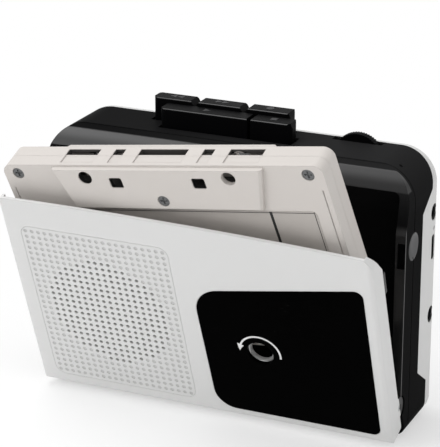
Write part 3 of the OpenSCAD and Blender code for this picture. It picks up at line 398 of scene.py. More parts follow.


# dark paints shade on deep walls: sockets' mouths, wheel slot, door's back and window, cassette's holes and
# openings.
white_shell = moulded(
    "white_shell", (0.61, 0.61, 0.605), (0.64, 0.64, 0.635),
    rough=0.4, patch=0.1, grain=0.00025, depth=0.000006, level=0.35, dark=shell_shade)
white_door = moulded(
    "white_door", (0.66, 0.66, 0.655), (0.69, 0.69, 0.685),
    rough=0.42, patch=0.1, grain=0.00025, depth=0.000006, level=0.25, dark=door_shade)
black_plain = moulded(
    "black_plain", (0.006, 0.006, 0.0065), (0.012, 0.012, 0.0125),
    rough=0.55, patch=0.2, grain=0.0003, depth=0.00001, level=0.15)
cream_shell = moulded(
    "cream_shell", (0.575, 0.54, 0.51), (0.615, 0.58, 0.55),
    rough=0.5, patch=0.16, grain=0.0003, depth=0.00001, dark=cassette_shade)
white_nylon = moulded(
    "white_nylon", (0.7, 0.69, 0.66), (0.78, 0.77, 0.74),
    rough=0.45, patch=0.2, grain=0.0004, depth=0.00001)
speaker_grey = moulded(
    "speaker_grey", (0.3, 0.3, 0.302), (0.36, 0.36, 0.362),
    rough=0.6, patch=0.2, grain=0.0004, depth=0.00001, level=0.3)
rubber = moulded(
    "rubber", (0.016, 0.014, 0.013), (0.03, 0.027, 0.025),
    rough=0.8, patch=0.15, grain=0.0005, depth=0.00002, level=0.3)
print("plastics:", len(bpy.data.materials))

# %% [markdown]
# ## Black mouldings
# The frame and the keys are dead black with hardly any shine, but some of their skin is smooth:
# the slope behind the door, the front rim, the finger scoop at the right and the upper edges of the
# keys. A clear coat whose weight follows the place gives just those a sheen, and leaves the rest dark.
# The tone follows the place too, as painted light: the top is paler upwards and to the right, the upper
# slope is paler, and the scoop is paler to the back, a painted reflection.
# Chosen faces could wear another material, but the CAD meshes stay as they are, so the place decides.


# %% Black finishes
SLOPE_FOOT, SLOPE_TOP, SLOPE_BACK, FADE = 75.1, 80.1, 5.4, 0.3
BRIGHT_FOOT, BRIGHT_TOP = SLOPE_FOOT + 1.5, SLOPE_TOP - 0.8
RIM_END, RIM_START = 0.7, 0.2
SCOOP, SCOOP_R, SCOOP_DARK_Y, SCOOP_PALE_Y = (63.1, 6.8, 58.4), 7.6, 3.0, 11.0
BALL_END, BALL_START = SCOOP_R + 0.2, SCOOP_R + 0.05
# Where the top's tone is made paler, as painted light, in millimetres.
TOP_FROM, TOP_TO, TOP_LEFT, TOP_RIGHT = 66, 81, -45, 30
KEY_EDGE, KEY_FADE, KEY_ROWS, ROW_ROOM = 0.25, 0.1, ((11.7, 87.5), (18.1, 88.6)), 0.5


def from_seam(f):
    """Depth behind the door seam and height, both in millimetres."""
    return axis(f, "Y") / MM + HALF_DEPTH, axis(f, "Z") / MM


def frame_coat_and_painted_light(f):
    """Coat sheen of the slope, the front rim and the scoop's ball, and the share of the paler tone, which is
    painted light.
    """
    y, z = from_seam(f)
    slope = ramp(f, z, SLOPE_FOOT - FADE, SLOPE_FOOT) * ramp(f, z, SLOPE_TOP + FADE, SLOPE_TOP)
    slope = slope * (y < SLOPE_BACK + FADE)
    rim = ramp(f, y, RIM_END, RIM_START)
    reach = vector(f, "DISTANCE", place(f), tuple(on_body([SCOOP])[0]), "Value")
    scoop = ramp(f, reach / MM, BALL_END, BALL_START)
    upper = slope * ramp(f, z, BRIGHT_FOOT, BRIGHT_TOP)
    sheen = slope * 0.35 + upper * 0.15 + rim * 0.8
    # Painted light: the top is paler upwards and to the right, and the upper slope paler; the noise is
    # random drift.
    painted_light_rightward = ramp(f, axis(f, "X") / MM, TOP_LEFT, TOP_RIGHT) * 0.09 + 0.025
    height = ramp(f, z, TOP_FROM, TOP_TO) * painted_light_rightward + noise(f, FLOW_SIZE, 3) * 0.02 + upper * 0.3
    # Painted reflection: the scoop is paler towards the back.
    scoop_painted_reflection = scoop * (ramp(f, y, SCOOP_DARK_Y, SCOOP_PALE_Y) * 1.3 + 0.12)
    return sheen.maths("MAXIMUM", sheen, scoop * 0.4), height.maths("MAXIMUM", height, scoop_painted_reflection)


def key_polish(f):
    """A thin strip along the upper front edge of each row of keys, and a drift between the tones."""
    y, z = from_seam(f)
    front, rear = [
        ramp(f, y, row + KEY_EDGE + KEY_FADE, row + KEY_EDGE)
        * ramp(f, z, top - KEY_EDGE - KEY_FADE, top - KEY_EDGE)
        for row, top in KEY_ROWS]
    return front + rear * (y > KEY_ROWS[1][0] - ROW_ROOM), noise(f, FLOW_SIZE, 3)


def gloss_black(name, low, high, rough, level, polish, edge=EDGE_ROUND):
    """Black skin of two tones; polish says where there is a clear coat and how the tones are shared, on the
    frame by painted light.
    """
    f = Finish(name, Specular_IOR_Level=level, Coat_Roughness=0.3, Coat_IOR=1.5)
    rub = noise(f, RUB_SIZE, 4)
    sheen, share = polish(f)
    return f.feed(
        Base_Color=blend(f, share, low, high),
        Roughness=rub * 0.08 + rough,
        Coat_Weight=sheen,
        Normal=bump(f, noise(f, size=0.001, detail=2), depth=0.000003, radius=edge),
    )


# On the frame the paler tone is painted light on the top and a painted reflection in the scoop.
black_frame = gloss_black(
    "black_frame", (0.004, 0.004, 0.0042), (0.11, 0.11, 0.112),
    rough=0.4, level=0.002, polish=frame_coat_and_painted_light)
black_keys = gloss_black(
    "black_keys", (0.0012, 0.0012, 0.0015), (0.0022, 0.0022, 0.0025),
    rough=0.38, level=0.02, polish=key_polish, edge=0.0003)
black_lens = moulded(
    "black_lens", (0.0003, 0.0003, 0.0003), (0.0009, 0.0009, 0.0009),
    rough=0.2, patch=0.08, grain=0.004, depth=0.000002, level=0.005)
print("black mouldings ready")

# %% [markdown]
# ## Metals
# Sheet steel is rolled, so its grain runs one way; turned pieces carry rings about their own axis.
# Rolled grain is noise on coordinates squeezed along one axis. Rings are a sine of the distance from an
# axis: cross product of the offset with the axis direction, then its length. A stretched highlight
# could give both, but streaks and rings in the height can be seen from near as well.


# %% Metal finishes
SPIN_AXIS = (0, 1, 0)


def rolled(name, tone, rough, along=(0.03, 1, 1)):
    """Noise, drawn out where a factor of along is small, drives colour, roughness and height."""
    f = Finish(name, Metallic=1.0)
    streak = noise(f, size=0.0004, detail=3, where=stretched(f, along))
    return f.feed(
        Base_Color=blend(f, streak, tuple(0.8 * t for t in tone), tone),
        Roughness=streak * 0.25 + rough,
        Normal=bump(f, streak, depth=0.000008, radius=0.0002),
    )


def from_axis(f, point, direction):
    """Distance from a line: length of the cross product of the offset with the line's direction."""
    offset = vector(f, "SUBTRACT", place(f), tuple(point))
    return vector(f, "LENGTH", vector(f, "CROSS_PRODUCT", offset, tuple(direction)), out="Value")


def turned(name, tone, rough, point, pitch=0.0003):
    """Rings: sine of the distance from the spin axis, one wave for each pitch, taken from 0 to 1."""
    f = Finish(name, Metallic=1.0)
    rings = (from_axis(f, point, SPIN_AXIS) * (2 * np.pi / pitch)).sin() * 0.5 + 0.5
    drift = noise(f, size=0.002, detail=3)
    return f.feed(
        Base_Color=blend(f, drift, tuple(0.85 * t for t in tone), tone),
        Roughness=rings * 0.12 + drift * 0.1 + rough,
        Normal=bump(f, rings, depth=0.000006, radius=0.0002),
    )


STEEL, CHROME, BRASS = (0.56, 0.57, 0.58), (0.75, 0.76, 0.77), (0.62, 0.44, 0.17)
joint_at = {j["child"]: j.get("pos_m") for j in frame["joints"]}
sheet_steel = rolled("sheet_steel", STEEL, 0.28)
screw_steel = rolled("screw_steel", STEEL, 0.3, (1, 1, 1))
dark_screw = rolled("dark_screw", tuple(0.34 * t for t in STEEL), 0.3, (1, 1, 1))
fly_steel = turned("fly_steel", STEEL, 0.22, joint_at["flywheel"])
capstan_chrome = turned("capstan_chrome", CHROME, 0.08, joint_at["flywheel"], pitch=0.0001)
pulley_brass = turned("pulley_brass", BRASS, 0.25, joint_at["motor_pulley"])
motor_can = turned("motor_can", STEEL, 0.3, joint_at["motor_pulley"], pitch=0.0006)
head_chrome = rolled("head_chrome", CHROME, 0.12, (1, 0.05, 1))
pad_bronze = rolled("pad_bronze", BRASS, 0.35)
print("metals ready, flywheel axis at", joint_at["flywheel"])

# %% [markdown]
# ## Tape, paper, board and cells
# A tape pack is thousands of turns of brown ribbon, so it gets very fine rings about its hub.
# The speaker cone has pressed ripples, the board has copper tracks under green lacquer, and the
# cells have a printed sleeve with bare metal ends. Turns and tracks could be modelled one by one, but
# at this size a pattern in the finish looks the same and adds no triangles.

# %% Tape and cone
GRILLE = np.array([-27.6, 36.8])
TURN_PITCH, RIPPLE_PITCH = 0.00025, 0.0016
door_normal = (0, float(np.cos(DOOR_OPEN)), float(np.sin(DOOR_OPEN)))


def wound_tape(name, point):
    """Rings of roughness and height about the reel, and bands of noise on the distance from it."""
    f = Finish(name, Specular_IOR_Level=0.4)
    r = from_axis(f, point, door_normal)
    turns = (r * (2 * np.pi / TURN_PITCH)).sin() * 0.5 + 0.5
    bands = noise(f, size=0.0008, detail=2, where=f.node("ShaderNodeCombineXYZ", {}, {0: r}))
    return f.feed(
        Base_Color=blend(f, bands, (0.045, 0.024, 0.014), (0.085, 0.05, 0.032)),
        Roughness=turns * 0.2 + 0.3,
        Normal=bump(f, turns, depth=0.000008, radius=0.0001),
    )


def pressed_cone(name):
    """Rings of height about the grille's middle, on fibrous paper."""
    f = Finish(name)
    centre = on_door([[GRILLE[0], 0, GRILLE[1]]])[0]
    r = from_axis(f, centre, door_normal)
    ripple = (r * (2 * np.pi / RIPPLE_PITCH)).sin() * 0.5 + 0.5
    fibre = noise(f, size=0.0003, detail=4)
    return f.feed(
        Base_Color=blend(f, fibre, (0.42, 0.42, 0.425), (0.5, 0.5, 0.505)),
        Roughness=fibre * 0.2 + 0.7,
        Normal=bump(f, ripple, depth=0.00008, radius=0.0001),
    )


left_tape = wound_tape("left_tape", joint_at["left_reel"])
right_tape = wound_tape("right_tape", joint_at["right_reel"])
ribbon = moulded(
    "ribbon", (0.05, 0.028, 0.017), (0.08, 0.045, 0.03),
    rough=0.3, patch=0.1, grain=0.0006, depth=0.000004)
cone = pressed_cone("cone")
print("tape and cone ready, reels at", joint_at["left_reel"], joint_at["right_reel"])

# %% Board, cells, label and pane
CELL_X, CELL_BARE, BAND_REACH, BAND_FROM = 0.0256, 0.0238, 0.0249, -0.0165
PALER_PER_METRE, PALE_MIDDLE = 7.0, 0.35


def lacquered_board(name):
    """Tracks are the mortar of a brick pattern, turned to lie in the board's plane."""
    f = Finish(name, Coat_Roughness=0.1)
    upright = f.node("ShaderNodeMapping", {}, {"Vector": place(f), "Rotation": (np.pi / 2, 0, 0)})
    bricks = {"Vector": upright, "Scale": 160.0, "Mortar Size": 0.06}
    track = f.node("ShaderNodeTexBrick", {"offset": 0.5}, bricks, "Fac")
    drift = noise(f, size=0.004, detail=3)
    return f.feed(
        Base_Color=blend(f, track, (0.018, 0.11, 0.045), (0.05, 0.2, 0.08)),
        Roughness=drift * 0.2 + 0.25,
        Coat_Weight=drift * 0.5,
        Normal=bump(f, track, depth=0.00003),
    )


def sleeved_cell(name):
    """Bare metal far from a cell's middle along X, a gold band on the left cell, and green ink elsewhere."""
    f = Finish(name)
    x = axis(f, "X")
    metal = x.maths("ABSOLUTE", x.maths("ABSOLUTE", x) - CELL_X) > CELL_BARE
    band = near(x, -CELL_X, BAND_REACH) * (x > BAND_FROM)
    scuff = noise(f, size=0.0015, detail=4)
    ink = blend(f, scuff, (0.02, 0.085, 0.045), (0.03, 0.11, 0.06))
    ink = blend(f, band, ink, (0.45, 0.32, 0.12))
    return f.feed(
        Base_Color=blend(f, metal, ink, STEEL),
        Metallic=metal * 0.9,
        Roughness=scuff * 0.2 + 0.25,
        Normal=bump(f, scuff, depth=0.00001),
    )


def printed_label(name):
    """Grey foil paper: fine streaks along the label, paler towards the right."""
    f = Finish(name, Specular_IOR_Level=0.4)
    fibre = noise(f, size=0.0003, detail=3, where=stretched(f, (0.1, 1, 1)))
    pale = axis(f, "X") * PALER_PER_METRE + PALE_MIDDLE
    return f.feed(
        Base_Color=blend(f, pale + fibre * 0.25, (0.32, 0.295, 0.275), (0.49, 0.458, 0.428)),
        Roughness=fibre * 0.2 + 0.4,
        Normal=bump(f, fibre, depth=0.000008, radius=0.0001),
    )


def clear_pane(name):
    """Clear styrene; noise hazes its tone and its roughness."""
    f = Finish(name, Transmission_Weight=0.9, IOR=1.5)
    haze = noise(f, size=0.003, detail=4)
    return f.feed(
        Base_Color=blend(f, haze, (0.8, 0.82, 0.83), (0.9, 0.91, 0.92)),
        Roughness=haze * 0.1 + 0.03,
    )


board = lacquered_board("board")
cells = sleeved_cell("cells")
label = printed_label("label")
pane = clear_pane("pane")
print("finishes in all:", len(bpy.data.materials))

# %% [markdown]
# ## Dress the CAD nodes
# Each node keeps its mesh and gets one finish in its material slots. They could be chosen by hand in
# the editor; a list of what wears what can be read through and checked.

# %% Which node wears what
wear = [
    (black_frame, "mid_frame"),
    (white_shell, "rear_shell battery_cover"),
    (white_door, "door_cover speaker_grille"),
    (black_lens, "door_lens"),
    (black_keys, "rewind_key forward_key record_key play_key stop_key volume_wheel"),
    (black_plain, "battery_tray take_up_spindle supply_spindle erase_head volume_control"),
    (black_plain, "headphone_socket line_socket charging_socket"),
    (cream_shell, "cassette_front cassette_rear"),
    (white_nylon, "take_up_wheel brake_disc left_hub right_hub"),
    (rubber, "drive_belt idler_wheel pinch_roller"),
    (sheet_steel, "battery_contacts chassis_plate head_plate roller_arm key_bracket"),
    (sheet_steel, "speaker_magnet tape_springs"),
    (screw_steel, "rear_screws hinge_pins chassis_screws microphone key_springs"),
    (dark_screw, "cassette_screws"),
    (motor_can, "drive_motor"),
    (pulley_brass, "motor_pulley"),
    (fly_steel, "flywheel"),
    (capstan_chrome, "capstan"),
    (head_chrome, "play_head"),
    (pad_bronze, "pressure_pad"),
    (speaker_grey, "speaker_frame"),
    (cone, "speaker_cone"),
    (board, "circuit_board"),
    (cells, "battery_cells"),
    (label, "cassette_label"),
    (pane, "cassette_window"),
    (ribbon, "tape_ribbon"),
    (left_tape, "left_tape_pack"),
    (right_tape, "right_tape_pack"),
]
finish_of = {name: finish for finish, names in wear for name in names.split()}
for name, part in nodes.items():
    part.data.materials.clear()
    part.data.materials.append(finish_of[name])
print("dressed", len(finish_of), "nodes")

# %% [markdown]
# ## Carried profiles
# Springs and printed signs are all one idea: a small closed profile carried along a path.
# At each path point the profile is laid out on two directions, `side` and `rise`, and scaled
# sideways by a width. A wire is a circle on a helix; a sign is a thin slab whose width changes
# along its length, so a triangle narrows to nothing and a disc swells and shrinks. A curve with a
# bevel could do it too; whole arrays keep the formula in sight and serve every one of these pieces.


# %% One surface builder
MERGE, THINNEST = 1e-7, 1e-8


def placed(name, points, faces):
    """A new object of these points and faces, in the scene."""
    mesh = bpy.data.meshes.new(name)
    mesh.from_pydata(points, [], faces)
    piece = bpy.data.objects.new(name, mesh)
    bpy.context.scene.collection.objects.link(piece)
    return piece


def carried(name, path, side, rise, profile, width=None, closed=False):
    """Point (i, j) = path i + side i * width i * profile j across + rise i * profile j up."""
    path, profile = np.asarray(path, float), np.asarray(profile, float)
    n, m = len(path), len(profile)
    width = np.ones(n) if width is None else np.asarray(width, float)
    side, rise = np.broadcast_to(side, (n, 3)), np.broadcast_to(rise, (n, 3))
    grid = (path[:, None] + side[:, None] * (width[:, None] * profile[None, :, 0])[..., None]
            + rise[:, None] * profile[None, :, 1][..., None])
    i, j = np.meshgrid(np.arange(n if closed else n - 1), np.arange(m), indexing="ij")
    a, b = i * m + j, i * m + (j + 1) % m
    c, d = (i + 1) % n * m + (j + 1) % m, (i + 1) % n * m + j
    faces = np.stack([a, b, c, d], -1).reshape(-1, 4).tolist()
    if not closed:
        faces += [list(range(m))[::-1], list(range((n - 1) * m, n * m))]
    piece = placed(name, grid.reshape(-1, 3).tolist(), faces)
    piece.data.validate()
    return piece


def facing_out(piece):
    """Merge doubled points and turn every face outwards."""
    b = bmesh.new()
    b.from_mesh(piece.data)
    bmesh.ops.remove_doubles(b, verts=b.verts, dist=MERGE)
    bmesh.ops.dissolve_degenerate(b, edges=b.edges, dist=THINNEST)
    bmesh.ops.recalc_face_normals(b, faces=b.faces)
    b.to_mesh(piece.data)
    b.free()
    return piece


def finished(piece, finish, body):
    """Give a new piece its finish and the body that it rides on."""
    piece.data.materials.append(finish)
    facing_out(piece)
    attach(piece, body)
    return piece


SUNK, PROUD = 0.00006, 0.00004
SLAB = np.array([[-1, -SUNK], [1, -SUNK], [1, PROUD], [-1, PROUD]])
print("a sign stands", PROUD / MM, "mm proud")

# %% [markdown]
# ## The turning arrow on the lens
# Round the window a white arrow shows which way the reel turns. It is an arc of constant width
# that ends in a head: the width jumps up where the head starts and falls nearly to zero at its tip.
# It could be drawn in the lens's finish; a thin slab of ink stays sharp from near.

# %% Arrow print
ink_white = moulded(
    "ink_white", (0.72, 0.72, 0.72), (0.8, 0.8, 0.8),
    rough=0.5, patch=0.1, grain=0.0003, depth=0.000004)
ARROW_R, SHAFT_HALF, HEAD_HALF, TIP_HALF = 6.2, 0.3, 1.05, 0.02
SHAFT_START, HEAD_START, TIP, SHAFT_STEPS, HEAD_STEPS = -8, 158, 180, 40, 8
shaft = np.linspace(SHAFT_START, HEAD_START, SHAFT_STEPS)
head = np.linspace(HEAD_START, TIP, HEAD_STEPS)
angle = np.radians(np.concatenate([shaft, head]))
half = np.concatenate([np.full(SHAFT_STEPS, SHAFT_HALF), np.linspace(HEAD_HALF, TIP_HALF, HEAD_STEPS)])
ring = np.stack([np.cos(angle), np.zeros(len(angle)), np.sin(angle)], -1)
arrow_path = on_door(REEL + ARROW_R * ring)
outwards = on_door(REEL + ring) - on_door(REEL)
door_out = -np.array(door_normal)
arrow = carried("arrow_print", arrow_path, outwards, door_out, SLAB, half)
finished(arrow, ink_white, "door")
print("arrow:", len(arrow.data.polygons), "faces")

# %% [markdown]
# ## Floors of the blind dimples
# Round the speaker the grille's holes are only pressed in. The CAD dimples are deeper than
# the real ones look, so a low disc in each brings its floor up, and they show as faint dots. Each could
# be a cylinder of its own. All discs are one mesh here, so that they stay one piece: two rings of points
# per disc, at two depths, on the grille's own grid.

# %% Dimple floors
PITCH, COLUMNS, ROWS, SPEAKER_R = 2.07, 22, 27, 19.0
DISC_R, DISC_TOP, DISC_FOOT, SIDES = 0.54, -7.7, -7.36, 16


def dimple_floors(name):
    """Ring point = centre + radius * (cos, sin), at the top and at the foot, for each blind centre."""
    columns, rows = [(np.arange(n) - (n - 1) / 2) * PITCH for n in (COLUMNS, ROWS)]
    centres = np.stack(np.meshgrid(columns, rows, indexing="ij"), -1).reshape(-1, 2)
    centres = centres[np.linalg.norm(centres, axis=1) >= SPEAKER_R] + GRILLE
    angle = np.arange(SIDES) * 2 * np.pi / SIDES
    ring = DISC_R * np.stack([np.cos(angle), np.sin(angle)], -1)
    flat = np.broadcast_to(centres[:, None, None] + ring, (len(centres), 2, SIDES, 2))
    depth = np.broadcast_to(np.array([DISC_TOP, DISC_FOOT])[None, :, None], flat.shape[:3])
    points = on_door(np.stack([flat[..., 0], depth, flat[..., 1]], -1).reshape(-1, 3))
    k = np.arange(SIDES)
    first = np.arange(len(centres))[:, None, None] * 2 * SIDES
    walls = first + np.stack([k, (k + 1) % SIDES, (k + 1) % SIDES + SIDES, k + SIDES], -1)[None]
    caps = first + np.stack([k, k + SIDES])[None]
    return placed(name, points.tolist(), walls.reshape(-1, 4).tolist() + caps.reshape(-1, SIDES).tolist())


# The discs' white is darker than the door's: painted shade in the shallow dimples.
dimple_painted_shade = moulded(
    "dimple_painted_shade", (0.53, 0.53, 0.527), (0.56, 0.56, 0.557),
    rough=0.5, patch=0.1, grain=0.00025, depth=0.000006, level=0.2)
floors = finished(dimple_floors("dimple_floors"), dimple_painted_shade, "door")
print("dimples raised:", len(floors.data.vertices) // (2 * SIDES))

# %% [markdown]
# ## Seam round the grille
# The grille plate drops into a pocket of the door. On the real door the joint is so tight that it is
# hardly seen. The gap could be drawn smaller in CAD, but two pieces need room, so a low bead of the same
# plastic runs in it, just under the face. Its path is a rectangle with round corners: each corner's
# centre plus its radius times (cos, sin).

# %% Grille seam
BORDER = np.array([0.43, 0.57])
HALF_PLATE = (np.array([COLUMNS, ROWS]) + BORDER) * PITCH / 2
CORNER_R, HALF_GAP, SEAM_Y, SEAM_HALF, CORNER_STEPS = 3.0, 0.05, -7.7, 0.06, 10
turn = np.radians(np.concatenate([np.linspace(q, q + 90, CORNER_STEPS) for q in (0, 90, 180, 270)]))
quarter = np.repeat([[1, 1], [-1, 1], [-1, -1], [1, -1]], CORNER_STEPS, axis=0)
spoke = np.stack([np.cos(turn), np.sin(turn)], -1)
flat = GRILLE + quarter * (HALF_PLATE - CORNER_R) + spoke * (CORNER_R + HALF_GAP)
seam_path = on_door(np.insert(flat, 1, SEAM_Y, axis=1))
seam_side = on_door(np.insert(flat + spoke, 1, SEAM_Y, axis=1)) - seam_path
seam_width = np.full(len(turn), SEAM_HALF)
seam = carried("grille_seam", seam_path, seam_side, door_out, SLAB, seam_width, closed=True)
finished(seam, white_door, "door")
print("grille seam:", len(seam.data.polygons), "faces")

# %% [markdown]
# ## Signs on the keys
# Each key has a raised sign: two triangles for winding, a disc for recording, one triangle for
# playing and a square for stopping. All are generic transport signs. Text objects could give them, but
# a slab whose width follows a formula needs no font.

# %% Key signs
ink_grey = moulded(
    "ink_grey", (0.03, 0.03, 0.031), (0.045, 0.045, 0.047),
    rough=0.45, patch=0.1, grain=0.0003, depth=0.000004, level=0.1)
FRONT_ROW, REAR_ROW = (14.9, KEY_ROWS[0][1]), (20.9, KEY_ROWS[1][1])
KEY_X = {"rewind_key": -22.9, "forward_key": -8.1, "record_key": 7.0, "play_key": -10.35, "stop_key": 10.7}
HALF_SIGN, HALF_WEDGE, HALF_SQUARE, DOT_R, DOT_STEPS, LEAST = 1.1, 1.15, 1, 1.2, 25, 0.01


def sign(name, key, row, span, half_width, shift=0):
    """A slab along X from the first to the last of span, with the half width given along it."""
    x = KEY_X[key] + shift + np.asarray(span, float)
    points = np.stack([x, np.full(len(x), row[0]), np.full(len(x), row[1])], -1)
    piece = carried(name, on_body(points), np.array([0, MM, 0]), np.array([0, 0, 1]), SLAB, half_width)
    return finished(piece, ink_grey, key)


wedge, wedge_span = np.array([HALF_WEDGE, LEAST]), [-HALF_SIGN, HALF_SIGN]
sign("play_sign", "play_key", FRONT_ROW, wedge_span, wedge)
sign("stop_sign", "stop_key", FRONT_ROW, [-HALF_SQUARE, HALF_SQUARE], [HALF_SQUARE, HALF_SQUARE])
for k, step in enumerate(wedge_span):
    sign(f"rewind_sign_{k}", "rewind_key", REAR_ROW, wedge_span, wedge[::-1], step)
    sign(f"forward_sign_{k}", "forward_key", REAR_ROW, wedge_span, wedge, step)
round_x = -np.cos(np.linspace(0, np.pi, DOT_STEPS)) * DOT_R
disc = np.sqrt(np.maximum(DOT_R**2 - round_x**2, LEAST**2))
sign("record_sign", "record_key", REAR_ROW, round_x, disc)
print("signs on five keys")

# %% [markdown]
# ## Key springs
# Under each key sits a coil of wire. The CAD model has a plain tube there; a helix with a round
# section replaces it. A screw modifier could wind it; the surface builder above is there already
# and needs only the path.

# %% Wound springs
BRACKET_TOP, KEY_FOOT, COIL_R, WIRE_R = 74.4, 79.0, 2.12, 0.2
STOP_STEM_X, REAR_STEM_Y, FRONT_STEM_Y = 6.4, 20.75, 15.65
stems = {key: (KEY_X[key], REAR_STEM_Y) for key in ("rewind_key", "forward_key", "record_key")}
stems |= {"play_key": (KEY_X["play_key"], FRONT_STEM_Y), "stop_key": (STOP_STEM_X, FRONT_STEM_Y)}
TURNS, TURN_STEPS, WIRE_SIDES, END_RUN = 5, 181, 8, 2
turn = np.linspace(0, TURNS * 2 * np.pi, TURN_STEPS)
rim = np.linspace(0, 2 * np.pi, WIRE_SIDES + 1)[:-1]
wire = np.stack([np.cos(rim), np.sin(rim)], -1) * WIRE_R * MM
radial = np.stack([np.cos(turn), np.sin(turn), np.zeros(TURN_STEPS)], -1)
levels = [BRACKET_TOP + WIRE_R, BRACKET_TOP + 2 * WIRE_R, KEY_FOOT - 2 * WIRE_R, KEY_FOOT - WIRE_R]
height = np.interp(turn, [0, END_RUN, turn[-1] - END_RUN, turn[-1]], levels)
for key, (x, y) in stems.items():
    path = on_body(np.array([x, y, 0]) + COIL_R * radial + height[:, None] * np.array([0, 0, 1]))
    coil = carried(key + "_coil", path, radial, np.array([0, 0, 1]), wire)
    finished(coil, screw_steel, "frame")
    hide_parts("key_springs")
    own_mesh(coil)
print("wound", len(stems), "springs")

# %% [markdown]
# ## Print on the cassette label
# The label is ruled: lines along three edges and a bar beside a small field. They could be drawn in the
# label's finish; slabs of constant width stay sharp and go with the cassette.

# %% Label rules
ink_black = moulded(
    "ink_black", (0.008, 0.008, 0.008), (0.015, 0.015, 0.015),
    rough=0.5, patch=0.1, grain=0.0003, depth=0.000004)
CASSETTE_FACE, LABEL_THICK, BAR_HALF, RULE_HALF = -4.35, 0.15, 0.4, 0.09
SIDE_X, BAR_X, UPPER_Z, LOWER_Z, TOP_RULE_Z = 43.9, 30.9, 48.6, 6.6, 48.3
LABEL_Y = CASSETTE_FACE - LABEL_THICK
rules = {
    "label_bar": ([BAR_X, UPPER_Z], [BAR_X, LOWER_Z], BAR_HALF),
    "label_right_rule": ([SIDE_X, UPPER_Z], [SIDE_X, LOWER_Z], RULE_HALF),
    "label_left_rule": ([-SIDE_X, UPPER_Z], [-SIDE_X, LOWER_Z], RULE_HALF),
    "label_top_rule": ([-SIDE_X, TOP_RULE_Z], [SIDE_X, TOP_RULE_Z], RULE_HALF),
}
base = on_cassette([[0, 0, 0]])[0]
rise = (on_cassette([[0, -1, 0]])[0] - base) / MM
for name, (start, end, half_width) in rules.items():
    ends = np.array([[start[0], LABEL_Y, start[1]], [end[0], LABEL_Y, end[1]]])
    along = np.array([end[0] - start[0], 0, end[1] - start[1]], float)
    along /= np.linalg.norm(along)
    side = on_cassette([np.cross(along, [0, 1, 0])])[0] - base
    rule = carried(name, on_cassette(ends), side, rise, SLAB, [half_width, half_width])
    finished(rule, ink_black, "cassette")
print("ruled the label with", len(rules), "lines")

# %% [markdown]
# ## Floor
# The picture shows the player cut out on white. A floor that only catches shadow could be laid over a
# white backdrop. Here one plain floor mixes in a white glow for the rays that are seen, so that a soft
# shadow stays near the part and the floor ends in white further off.


# %% Floor
FLOOR_HALF, SHADOW_NEAR, SHADOW_FAR = 4.0, 0.1, 0.26


def studio_floor():
    """Share of white glow: for rays that are seen, from a half near the part to 1 further off, or else 0."""
    f = Finish("floor", Roughness=0.9)
    f.feed(Base_Color=blend(f, noise(f, size=0.2, detail=2), (0.93, 0.93, 0.93), (0.95, 0.95, 0.95)))
    away = vector(f, "LENGTH", place(f), out="Value")
    camera_ray, glossy_ray, through_ray = [
        f.node("ShaderNodeLightPath", {}, {}, kind)
        for kind in ("Is Camera Ray", "Is Glossy Ray", "Is Transmission Ray")]
    seen = camera_ray.maths("MAXIMUM", camera_ray.maths("MAXIMUM", camera_ray, glossy_ray), through_ray)
    white = f.node("ShaderNodeEmission", {}, {"Color": (1, 1, 1, 1), "Strength": 1.0})
    share = seen * (ramp(f, away, SHADOW_NEAR, SHADOW_FAR) * 0.5 + 0.5)
    mixed = f.node("ShaderNodeMixShader", {}, {0: share, 1: Wire(f, f.shader.outputs[0]), 2: white})
    f.set(f.tree.nodes["Material Output"], "Surface", mixed)
    return f.material


sides = (-FLOOR_HALF, FLOOR_HALF)
floor = placed("floor", [(x, y, 0) for x in sides for y in sides], [(0, 2, 3, 1)])
floor.data.materials.append(studio_floor())
print("floor:", 2 * FLOOR_HALF, "m wide")

# %% [markdown]
# ## Lamps
# Three soft lamps light the part: the key light high on the left in front, a weaker fill on the right,
# and a broad top light that runs along the frame's lip. A constraint could aim them; a matrix of three
# axes and a place is the same sum as for the camera.


# %% Lamps
LAMP_AIM = np.array([0, 0, 0.04])


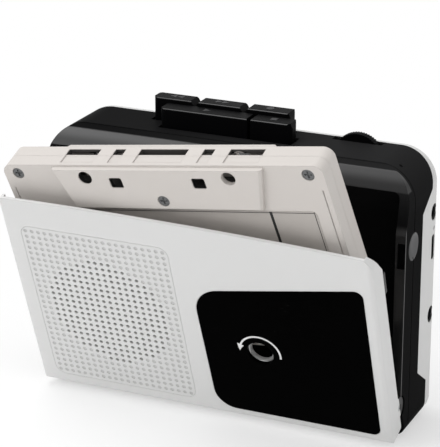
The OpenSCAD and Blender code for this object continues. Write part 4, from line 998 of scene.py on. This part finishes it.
def soft_light(name, location, width, height, watts):
    """A lamp with three axes: away from its aim, across (Z cross away) and over (away cross across)."""
    lamp = bpy.data.lights.new(name, "AREA")
    lamp.shape, lamp.size, lamp.size_y, lamp.energy = "RECTANGLE", width, height, watts
    made = bpy.data.objects.new(name, lamp)
    bpy.context.scene.collection.objects.link(made)
    away = np.array(location, float) - LAMP_AIM
    away /= np.linalg.norm(away)
    across = np.cross([0, 0, 1.0], away)
    across /= np.linalg.norm(across)
    matrix = np.eye(4)
    matrix[:3, :] = np.column_stack([across, np.cross(away, across), away, location])
    made.matrix_world = Matrix(matrix.tolist())


soft_light("key_light", (-0.68, -0.92, 0.7), 0.4, 0.4, 4.2)
soft_light("fill_light", (0.9, -0.5, 0.4), 0.5, 0.7, 1.4)
soft_light("top_light", (-0.25, -0.1, 1.0), 0.9, 0.6, 4.8)
print("studio lit with", len(bpy.data.lights), "lamps")

# %% [markdown]
# ## World
# A white room surrounds the part. One brightness for every ray could do, but a room as bright as the
# backdrop lights pale plastic too much. The room is plain white to rays that are seen, in a mirror or
# through a pane too, and dimmer to the rest, which carry its light to the part.

# %% World
ROOM_LIGHT = 0.56
world = bpy.data.worlds.new("studio")
world.use_nodes = True
bpy.context.scene.world = world
tree = world.node_tree
backdrop = tree.nodes["Background"]
backdrop.inputs["Color"].default_value = (1, 1, 1, 1)
rays = tree.nodes.new("ShaderNodeLightPath")
seen = rays.outputs["Is Camera Ray"]
for kind in ("Is Glossy Ray", "Is Transmission Ray"):
    either = tree.nodes.new("ShaderNodeMath")
    either.operation = "MAXIMUM"
    tree.links.new(seen, either.inputs[0])
    tree.links.new(rays.outputs[kind], either.inputs[1])
    seen = either.outputs[0]
level = tree.nodes.new("ShaderNodeMapRange")
level.inputs["To Min"].default_value = ROOM_LIGHT
level.inputs["To Max"].default_value = 1.0
tree.links.new(seen, level.inputs["Value"])
tree.links.new(level.outputs[0], backdrop.inputs["Strength"])
bpy.context.scene.view_settings.view_transform = "Standard"
print("room light:", ROOM_LIGHT)
